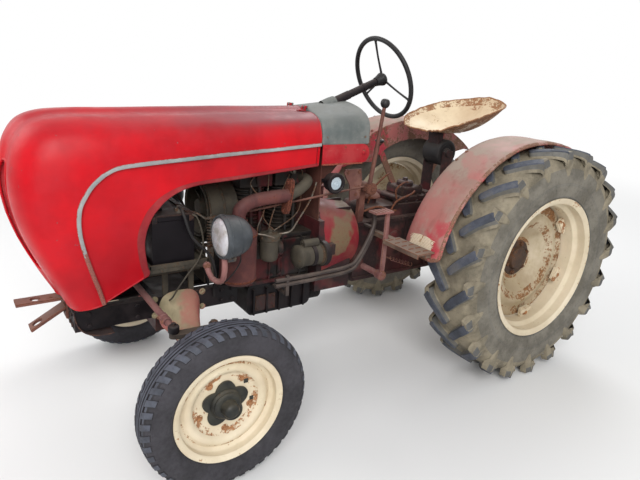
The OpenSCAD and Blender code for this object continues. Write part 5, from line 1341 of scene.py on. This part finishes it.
def fuel_lines():
    """Lines from the pump to the heads, and from the tank."""
    lines = Kit()
    for x, at in zip(PUMP_XS, BORES):
        lines.tube([(x, 156, 818), (x, 160, 860), (x - 34, 150, 950), (at + 40, 118, 1040),
                    (at + 10, 98, 1072)], 3.2, 8, 6, 0.5)
        lines.tube([(at - 30, 92, 1110), (at - 40, 130, 1090), (at - 30, 146, 1000),
                    (at - 10, 150, 900), (1330, 160, 830)], 2.6, 8, 6, 0.5)
        lines.lathe((at, 98, 1092), Y, [(13, -8), (13, 12), (9, 14), (9, 30), (5, 32), (0, 32)], 20, 0.4)
    lines.tube([(1500, 60, 1150), (1380, 96, 1186), (1180, 100, 1180), (1110, 80, 1150)], 4, 8, 6, 0.4)
    lines.tube([(1390, 269, 834), (1440, 262, 852), (1480, 230, 850), (1488, 176, 820), (1470, 150, 790)],
               4, 8, 6, 0.4)
    lines.tube([(1346, 234, 838), (1300, 252, 850), (1240, 214, 880), (1140, 160, 960), (1104, 150, 1040)],
               4, 8, 6, 0.4)
    lines.done("fuel_lines", "steel", "bare_steel")


def cylinders():
    """Finned cylinders with their heads."""
    heads = Kit()
    heads.node("cylinders", 0.9, 1)
    for x in BORES:
        heads.lathe((x, 0, 1090), Z, [(58, 0), (58, 66), (54, 74), (46, 79), (0, 80)], 40)
        heads.bolts([(x + dx, dy, 1091) for dx in (-68, 68) for dy in (-78, 78)], Z, 9, 10)
        heads.bolt((x, 0, 1169), Z, 9, 9)
        # Push rod tubes and the exhaust port's flange
        for dx in (-22, 22):
            heads.rod((x + dx, 98, 806), (x + dx, 84, 1030), 9, 16, 0.2)
        heads.prism([(-34, -24), (34, -24), (40, 0), (34, 24), (-34, 24), (-40, 0)], (x - 35, 94, 1058), -X,
                    Z, 12, 2)
    heads.done("finned_cylinders", "engine", "dark_iron", ["cylinders"])


def blower():
    """Blower with its air duct and guide sheets."""
    fan = Kit()
    fan.node("blower_cowl", 1.0)
    fan.tube(ring_points(64, 132, (1615, -70, 905), X), 4.5, 10, 1, 0.4, close=True)
    fan.bolts(ring_points(8, 118, (1519, -70, 905), X, 0.2), X, 5, 5)
    # Rolled air duct from the blower to the cylinders, with its seam and clamp
    duct = [(148, 0), (150, 4), (147, 8), (146, 60), (150, 64), (150, 70), (146, 74), (143, 128),
            (146, 132), (146, 137), (141, 137), (140, 128), (142, 74), (142, 8), (146, 0)]
    fan.lathe((1481, -44, 896), X, duct, 72, lambda i, k: 0.5 if i in (0, 3, 4, 5, 8, 9) else 0.15,
              closed=True)
    fan.box((1486, 98, 880), (1612, 106, 912), 2, 0.6)
    fan.bolts([(1500, 106, 896), (1560, 106, 896), (1600, 106, 896)], Y, 5, 4, 0.6)
    fan.box((1636, -130, 596), (1642, 92, 772), 1.5, 0.3)
    # Plain sheet on the far side, a guess, put as painted shade to darken the gap between the fan and the
    # battery's tray
    fan.box((1560, -206, 640), (1700, -202, 800), 1.2, 0.3)
    # Sheet that guides the air past the heads
    fan.box((1300, -104, 1094), (1484, -100, 1150), 1, 0.3)
    fan.box((1110, -104, 830), (1484, -100, 1094), 1, 0.3)
    fan.done("fan_housing", "olive", "olive_paint", ["blower_cowl"])


def throttle_spring():
    """Coil spring between the blower and the battery."""
    spring = Kit()
    spring.tube([(1618 + 16 * math.cos(k * 0.6), 104 + 16 * math.sin(k * 0.6), 782 + k * 1.25)
                 for k in range(96)], 2.8, 8, 1, 0.5)
    spring.rod((1618, 104, 742), (1618, 104, 922), 4, 12, 0.4)
    spring.box((1596, 96, 900), (1648, 112, 910), 2, 0.5)
    spring.box((1596, 96, 772), (1640, 112, 780), 2, 0.5)
    spring.box((1604, 100, 600), (1634, 108, 776), 2, 0.3)
    spring.tube([(1648, 104, 905), (1676, 90, 926), (1700, 60, 930)], 5, 10, 6, 0.4)
    spring.done("throttle_spring", "steel", "bare_steel")


def oil_sump():
    """Sump, its cover and the linkage boot."""
    sump = Kit()
    sump.node("oil_sump", 1.5)
    sump.box((1086, -140, 548), (1440, 140, 562), 2.5)
    sump.bolts([(x, s * 132, 562) for x in range(1105, 1440, 46) for s in (1, -1)], Z, 6, 5)
    sump.bolt((1235, 0, 372), -Z, 13, 10)
    sump.done("sump_pan", "black", "black_paint", ["oil_sump"])
    # Red cover low on the left of the sump, and a ribbed boot
    extras = Kit()
    extras.box((1290, 125, 420), (1400, 134, 500), 4, 0.1)
    extras.bolts([(x, 134, z) for x in (1302, 1388) for z in (432, 488)], Y, 6, 6)
    extras.done("sump_cover", "red", "red_paint")
    boot = Kit()
    ribs = []
    for k in range(6):
        ribs += [(46, k * 10), (56, k * 10 + 2), (56, k * 10 + 6), (46, k * 10 + 8)]
    boot.lathe((1070, 66, 458), -X, [(0, 0)] + ribs + [(40, 62), (0, 64)], 40)
    boot.done("linkage_boot", "rubber", "black_rubber")


def bell_housing():
    """Clutch housing with its painted cone."""
    bell = Kit()
    bell.node("clutch_housing", 2.5)
    bell.bolts(ring_points(14, 196, (1074, 0, BELL_Z), X), -X, 9, 9, 0.2)
    for a in (60, 90, 120):
        c, s = math.cos(math.radians(a)), math.sin(math.radians(a))
        bell.box((840, c * 182 - 4, BELL_Z + s * 168), (1078, c * 182 + 4, BELL_Z + s * 190), 3)
    bell.done("bell_housing", "casting", "red_paint", ["clutch_housing"])
    cone = Kit()
    cone.lathe((832, 0, BELL_Z), X, [(168, 0), (171.5, 0), (209.5, 236), (206, 236)], 72, 0.1, closed=True)
    cone.done("bell_cone", "bell", "red_paint")


def gearbox():
    """Gearbox, its lid and the shift linkage."""
    gear = Kit()
    gear.node("gearbox", 1.8)
    for s in (1, -1):
        gear.box((200, s * 141 - 7, 786), (826, s * 141 + 7, 808), 3)
        gear.box((200, s * 141 - 6, 484), (826, s * 141 + 6, 502), 3)
        gear.bolts([(x, s * 148, 797) for x in range(230, 820, 78)], Y * s, 7, 6)
        for x in (300, 470, 640):
            gear.box((x, s * 140 - 5, 500), (x + 14, s * 140 + 5, 790), 3)
        gear.lathe((385, s * 139, 640), Y * s, [(0, 0), (62, 0), (62, 8), (56, 12), (30, 13), (26, 20),
            (0, 21)], 40)
        gear.bolts(ring_points(6, 50, (385, s * 150, 640), Y), Y * s, 7, 6)
        gear.lathe((560, s * 139, 690), Y * s, [(0, 0), (44, 0), (44, 8), (38, 12), (0, 13)], 36)
        gear.bolts(ring_points(5, 36, (560, s * 149, 690), Y), Y * s, 6, 5)
    gear.done("gearbox_casting", "casting", "dark_iron", ["gearbox"])
    top_box = Kit()
    # Pink-red castings and covers on the gearbox, seen behind the steering wheel
    top_box.box((285, -92, 870), (520, 92, 902), 8, 0.1)
    top_box.box((310, -70, 900), (470, 70, 948), 12, 0.2)
    top_box.lathe((390, 0, 946), Z, [(46, 0), (48, 4), (48, 20), (40, 28), (16, 30), (14, 44), (0, 46)], 40,
                  0.1)
    top_box.bolts([(x, y, 902) for x in (298, 360, 440, 507) for y in (-82, 82)], Z, 8, 8)
    top_box.bolts([(x, y, 948) for x in (324, 456) for y in (-56, 56)], Z, 8, 8)
    top_box.box((226, -60, 868), (282, 60, 912), 8, 0.1)
    top_box.rod((540, -96, 905), (540, 116, 905), 13, 20, 0.3)
    top_box.box((528, 92, 868), (552, 112, 908), 3, 0.2)
    top_box.done("gearbox_lid", "casting", "dark_iron")
    linkage = Kit()
    linkage.tube([(552, 120, 905), (566, 124, 960), (520, 124, 992), (486, 122, 996)], 5, 10, 6, 0.4)
    linkage.tube([(600, 136, 850), (566, 140, 900), (470, 140, 930), (440, 136, 946)], 5.5, 10, 6, 0.4)
    linkage.tube([(822, 128, 850), (700, 138, 880), (610, 136, 852), (560, 134, 846)], 6, 10, 6, 0.4)
    linkage.tube([(700, 60, 880), (690, 80, 960), (640, 92, 1020), (600, 96, 1046)], 5, 10, 6, 0.4)
    linkage.lathe((650, 0, 900), Z, [(0, 0), (62, 0), (64, 3), (60, 14), (44, 26), (24, 32), (20, 44),
                                     (9, 46)], 40, 0.3)
    linkage.done("shift_linkage", "rust", "rusty_steel")


def rear_axle():
    """Rear axle housing."""
    axle = Kit()
    axle.node("rear_axle", 2.5)
    for s in (1, -1):
        axle.bolts(ring_points(8, 108, (0, s * 345.5, REAR_R), Y), -Y * s, 9, 8)
        axle.bolts([(x, s * 160, z) for x in (-180, 160) for z in (490, 800)], Y * s, 10, 8)
        axle.lathe((0, s * 160, REAR_R), Y * s, [(138, -2), (142, 2), (142, 14), (132, 20), (118, 24)], 56,
                   0.1)
        axle.bolts(ring_points(10, 131, (0, s * 176, REAR_R), Y), Y * s, 8, 7)
    axle.done("axle_casting", "casting", "dark_iron", ["rear_axle"])


def starter():
    """Starter with its strap."""
    dynamo = Kit()
    dynamo.node("starter", 1.5)
    dynamo.lathe((1119, STARTER_Y, STARTER_Z), X, [(50.4, 0), (51.5, 2), (51.5, 12), (50.4, 14)], 40, 0.6)
    dynamo.lathe((1235, STARTER_Y, STARTER_Z), X, [(54, 0), (55, 3), (55, 12), (46, 22), (24, 27), (0, 28)],
                 40, 0.3)
    dynamo.rod((1138, STARTER_Y, 774), (1222, STARTER_Y, 774), 21)
    dynamo.bolts([(1222, STARTER_Y, 784), (1222, STARTER_Y, 764)], X, 5, 6)
    dynamo.rod((1090, STARTER_Y, STARTER_Z), (1105, STARTER_Y, STARTER_Z), 26, 24)
    dynamo.done("starter_motor", "olive", "olive_paint", ["starter"])
    strap = Kit()
    strap.lathe((1160, STARTER_Y, STARTER_Z), X, [(50.5, 0), (53.5, 1), (53.5, 20), (50.5, 21)], 40)
    strap.lathe((1105, STARTER_Y, STARTER_Z), -X, [(61, -14), (63, -12), (63, 8), (58, 16), (40, 20),
        (0, 21)], 40, 0.1)
    strap.done("starter_strap", "black", "black_paint")


def fuel_filter():
    """Fuel filter on its bracket."""
    bowl = Kit()
    bowl.node("fuel_filter", 1.5)
    bowl.lathe((FILTER_X, FILTER_Y, 720), Z,
               smooth_profile([(0, -8), (22, -6), (36, 2), (41, 14), (42, 40), (42, 92)], 4), 40, 0.2)
    bowl.lathe((FILTER_X, FILTER_Y, 812), Z, [(42, 0), (47, 3), (47, 26), (40, 32), (14, 34), (10, 44),
        (0, 44)], 40, 0.4)
    bowl.bolt((FILTER_X, FILTER_Y, 856), Z, 9, 8)
    bowl.box((1340, 205, 824), (1440, 245, 838), 4, 0.3)
    bowl.done("filter_bowl", "olive", "olive_paint", ["fuel_filter"])


def side_pipes():
    """Two tubes along the left side."""
    pipes = Kit()
    for k in (0, 1):
        pipes.tube([(1370, 262, 622 - k * 26), (1150, 262, 622 - k * 26), (960, 262, 630 - k * 26),
                    (890, 256, 670 - k * 26), (800, 236, 800 - k * 26), (780, 214, 868 - k * 20)], 10, 14,
                   8)
    for low, high in (((1300, 125, 540), (1316, 262, 552)), ((1300, 254, 540), (1316, 270, 640)),
                      ((770, 140, 790), (790, 226, 802)), ((770, 210, 790), (790, 226, 880))):
        pipes.box(low, high, 1.5)
    pipes.done("side_pipes", "pipe", "black_rubber", ["side_tubes"])


def side_gauge():
    """Round gauge on the left."""
    gauge = Kit()
    at = Vector((1062, 205, 1052))
    gauge.lathe(at, Y, [(0, 0), (40, 0), (42, 2), (42, 30), (47, 32), (49, 36), (49, 46), (46, 50),
                        (40, 51), (35, 47), (33, 41)], 56)
    gauge.node("side_gauge", 0.0)
    gauge.done("gauge_ring", "black", "black_paint", ["side_gauge"])
    dial = Kit()
    dial.lathe(at, Y, [(34, 41.5), (29, 41.5), (28, 44), (24, 44), (23, 41.5), (17, 41.5), (16, 44),
                       (12, 44), (10, 41.5), (4, 42), (0, 44)], 56)
    dial.done("gauge_disc", "dial", "grey_paint")


def hand_levers():
    """Hand levers, their bracket and their knobs."""
    levers = Kit()
    levers.node("control_levers", 0.8)
    levers.tube([(x, LEVER_Y, z) for x, z in ((826, 1000), (804, 1180), (788, 1320), (778, 1398))],
                lambda t: 12 - 5.5 * t, 14, 6)
    levers.done("lever_rods", "rust", "rusty_steel", ["control_levers"])
    hub = Kit()
    hub.lathe((815, 216, 1000), Y, [(29, -30), (31, -26), (31, 3), (27, 8), (14, 9), (12, 16), (0, 17)], 32,
              0.9)
    hub.prism([(0, 0), (58, -8), (64, 70), (104, 132), (98, 150), (2, 150), (-8, 90)], (866, 186, 950), X,
              Z, 8, 2, 0.3)
    hub.bolts([(880, 186, 1084), (948, 186, 1084), (892, 186, 972)], Y, 7, 6, 0.6)
    hub.done("lever_bracket", "orange_rust", "rusty_steel")
    knobs = Kit()
    knobs.lathe((776, LEVER_Y, 1392), Z,
                smooth_profile([(8, 0), (16, 5), (22, 16), (22.5, 26), (18, 38), (9, 43.5), (0, 44.5)], 4),
                32)
    knobs.lathe((610, 0, 1176), Z,
                smooth_profile([(8, 0), (10, 12), (23, 20), (25, 26), (20, 33), (8, 36), (0, 37)], 4), 32)
    knobs.done("lever_knobs", "wheel", "wheel_plastic")


def front_frame():
    """Frame rails, the sheet under the nose and the tow clevis."""
    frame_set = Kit()
    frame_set.node("front_frame", 1.8)
    for s in (1, -1):
        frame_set.bolts([(x, s * 142, z) for x in (1530, 1580, 1960, 2150) for z in (520, 570)], Y * s, 9,
                        8, 0.05)
    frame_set.bolts([(2204, y, z) for y in (-110, -70, 70, 110) for z in (522, 568)], X, 8, 7)
    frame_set.done("frame_rails", "black", "black_paint", ["front_frame"])
    # Bowed sheet under the nose
    chin = Kit()
    arc = [(2206, 588), (2200, 548), (2186, 514), (2162, 490), (2130, 476), (2096, 470), (2060, 472)]
    arc = smooth_profile(arc, 4)
    for layer in (0, 3):
        rows = [[Vector((x - layer * 0.6, y, z + layer)) for x, z in arc] for y in range(-152, 153, 16)]
        start = len(chin.faces)
        chin.skin(rows, tone=0.3)
        if not layer:
            chin.flip(start)
    for y in (-152, 152):
        chin.tube([(x, y, z + 1.5) for x, z in arc], 2.6, 8, 1, 0.6)
    chin.tube([(arc[-1][0], y, arc[-1][1] + 1.5) for y in (-152, 0, 152)], 2.6, 8, 1, 0.6)
    chin.bolts([(2168, y, 494) for y in (-120, 0, 120)], Vector((0.6, 0, -0.8)), 7, 5)
    chin.done("chin_sheet", "chin", "black_paint")

    recast("clevis_plates", "tow_clevis", "rust", "rusty_steel", 2.0)


def front_axle():
    """Axle beam with its trumpets and the two knuckles."""
    beam = Kit()
    beam.node("front_axle", 2.5)
    beam.bolts([(WHEELBASE + x, s * 50, 520.5) for x in (-60, 60) for s in (1, -1)], Z, 10, 9)
    beam.done("axle_beam", "red", "red_paint", ["front_axle"])
    trumpet = Kit()
    for s in (1, -1):
        # Cast trumpet round each half of the beam
        rows = []
        for y, wide, low, high in ((143.5, 90, 430, 606), (150, 92, 424, 612), (172, 84, 418, 602),
                                   (206, 68, 412, 566), (262, 50, 406, 508), (330, 40, 394, 466),
                                   (396, 34, 384, 446), (400, 31, 386, 442)):
            row = []
            for k in range(32):
                c, q = round_way(k, 32)
                row.append(Vector((WHEELBASE + wide * boxy(c, 0.7), s * y,
                                   (low + high) / 2 + (high - low) / 2 * boxy(q, 0.7))))
            rows.append(row if s < 0 else list(reversed(row)))
        trumpet.skin(rows, wrap=True, caps=True, tone=0.1)
        trumpet.bolts([(WHEELBASE + x, s * 143, z) for x in (-106, 106) for z in (510, 582)], Y * s, 10, 9)
    trumpet.done("axle_trumpets", "trumpet", "red_paint")

    for name, s in SIDES:
        k = Kit()
        k.node("knuckle_" + name, 1.8)
        k.bolt((WHEELBASE, s * 510, 617), Z, 14, 12)
        k.done("knuckle_casting_" + name, "iron", "dark_iron", ["knuckle_" + name], body="knuckle_" + name)


def steering_rods():
    """Tie rod, drag link and drop arm."""
    rod = Kit()
    rod.lathe((TIE_ROD_X, -430, TIE_ROD_Z), Y, [(13.5, 0), (17, 2), (17, 24), (13.5, 26), (13.5, 40),
        (17, 42), (17, 60), (13.5, 62), (13.5, 360), (13.5, 798), (17, 800), (17, 818), (13.5, 820),
        (13.5, 834), (17, 836), (17, 856), (13.5, 858)], 32)
    for low, high in ((-482, -428), (428, 482)):
        rod.rod((TIE_ROD_X, low, TIE_ROD_Z), (TIE_ROD_X, high, TIE_ROD_Z), 12)
    rod.bolts([(1947, y, TIE_ROD_Z) for y in (-418, -378, 378, 418)], X, 6, 6, 0.6)
    rod.done("tie_rod_tube", "pink", "rusty_steel", ["tie_rod"], body="tie_rod")
    balls = Kit()
    for s in (1, -1):
        balls.lathe((TIE_ROD_X, s * 490, 600.3), Z,
                    smooth_profile([(0, -0.5), (14, 0), (19, 3), (21, 10), (21, 24), (18, 31), (10, 34),
                                    (0, 34)], 3), 32)
        balls.bolt((TIE_ROD_X, s * 490, 633), Z, 9, 9)
    balls.done("tie_rod_joints", "black", "dark_iron", body="tie_rod")

    recast("drag_link_rod", "drag_link", "iron", "dark_iron", 1.2, "drag_link")
    arm = Kit()
    arm.node("drop_arm", 1.5)
    arm.bolt((1000, -275, 767.3), -Y, 10, 8)
    arm.done("drop_arm_forging", "iron", "dark_iron", ["drop_arm"], body="drop_arm")


def plain_castings():
    """Pieces that stay close to their solids."""
    for node, material, slot, bevel in (
        ("steering_box", "iron", "dark_iron", 2), ("drawbar", "rust", "rusty_steel", 2),
        ("tank_supports", "bulkhead", "black_paint", 1), ("pto_shaft", "steel", "bare_steel", 1.5),
    ):
        k = Kit()
        k.node(node, bevel)
        if node == "tank_supports":
            # Pressed ribs, a wiring box and bolts on the bulkhead
            for y in (-120, -40, 40, 120):
                k.box((1089, y - 8, 900), (1096, y + 8, 1190), 3)
            k.box((1052, -60, 1040), (1095, 50, 1130), 6, 0.3)
            k.bolts([(1088, y, z) for y in (-160, 160) for z in (890, 1040, 1190)], -X, 7, 6)
        k.done(node + "_forged", material, slot, [node])
    recast("grille_slats", "front_grille", "panel", "red_paint", 1.0, "hood")


# ---- Floor, light and background


def studio():
    """Floor that fades into white, sky and three lights."""
    floor = bpy.data.meshes.new("floor")
    floor.from_pydata([(-60, -60, 0), (60, -60, 0), (60, 60, 0), (-60, 60, 0)], [], [(0, 1, 2, 3)])
    plane = bpy.data.objects.new("floor", floor)
    bpy.context.scene.collection.objects.link(plane)
    material = bpy.data.materials.new("floor_paper")
    material.use_nodes = True
    tree = material.node_tree
    shader = tree.nodes["Principled BSDF"]
    shader.inputs["Base Color"].default_value = (0.78, 0.775, 0.765, 1)
    shader.inputs["Roughness"].default_value = 0.9
    # Far from the tractor the floor fades into the white background
    place = add_node(tree, "TexCoord", {}).outputs["Object"]
    length = add_node(tree, "VectorMath", {0: place}, operation="LENGTH").outputs["Value"]
    reach = {"Value": length, "From Min": FADE_FROM, "From Max": FADE_TO}
    fade = add_node(tree, "MapRange", reach, interpolation_type="SMOOTHSTEP").outputs["Result"]
    seen = add_node(tree, "LightPath", {}).outputs["Is Camera Ray"]
    share = add_node(tree, "Math", {0: fade, 1: seen}, operation="MULTIPLY").outputs[0]
    glow = add_node(tree, "Emission", {"Strength": 1.0}).outputs[0]
    mixer = add_node(tree, "MixShader", {0: share, 1: shader.outputs[0], 2: glow})
    join(tree, mixer.outputs[0], tree.nodes["Material Output"].inputs["Surface"])
    floor.materials.append(material)

    # The sky lights the tractor, and is white where the camera or a reflection sees it
    world = bpy.data.worlds.new("sky")
    bpy.context.scene.world = world
    world.use_nodes = True
    tree = world.node_tree
    backdrop = tree.nodes["Background"]
    backdrop.inputs["Color"].default_value = (0.95, 0.97, 1.0, 1)
    backdrop.inputs["Strength"].default_value = 0.62
    white = add_node(tree, "Background", {"Color": (1, 1, 1, 1)}).outputs[0]
    rays = add_node(tree, "LightPath", {}).outputs
    either = {0: rays["Is Camera Ray"], 1: rays["Is Glossy Ray"]}
    share = add_node(tree, "Math", either, operation="MAXIMUM").outputs[0]
    mixer = add_node(tree, "MixShader", {0: share, 1: backdrop.outputs[0], 2: white})
    join(tree, mixer.outputs[0], tree.nodes["World Output"].inputs["Surface"])

    for name, place, power in (
        ("key_light", (3.2, 4.9, 4.2), 340), ("fill_light", (4.5, -3.0, 4.0), 120),
        ("back_light", (-4.0, -2.5, 5.0), 160),
    ):
        data = bpy.data.lights.new(name, "AREA")
        data.shape, data.size, data.energy = "DISK", 4.0, power
        lamp = bpy.data.objects.new(name, data)
        aim = (LIGHT_AIM - Vector(place)).to_track_quat("-Z", "Y").to_matrix().to_4x4()
        lamp.matrix_world = Matrix.Translation(place) @ aim
        bpy.context.scene.collection.objects.link(lamp)
    bpy.context.scene.view_settings.view_transform = "Standard"


add_camera()
hood()
cowl()
steering_wheel()
for wheel_side in SIDES:
    rear_tyre(wheel_side)
    rear_wheel(wheel_side)
    front_tyre(wheel_side)
    front_wheel(wheel_side)
fenders()
worn_patch()
seat()
footing()
lamps()
exhaust()
battery()
crankcase()
fuel_lines()
cylinders()
blower()
throttle_spring()
oil_sump()
bell_housing()
gearbox()
rear_axle()
starter()
fuel_filter()
side_pipes()
side_gauge()
hand_levers()
front_frame()
front_axle()
steering_rods()
plain_castings()
studio()
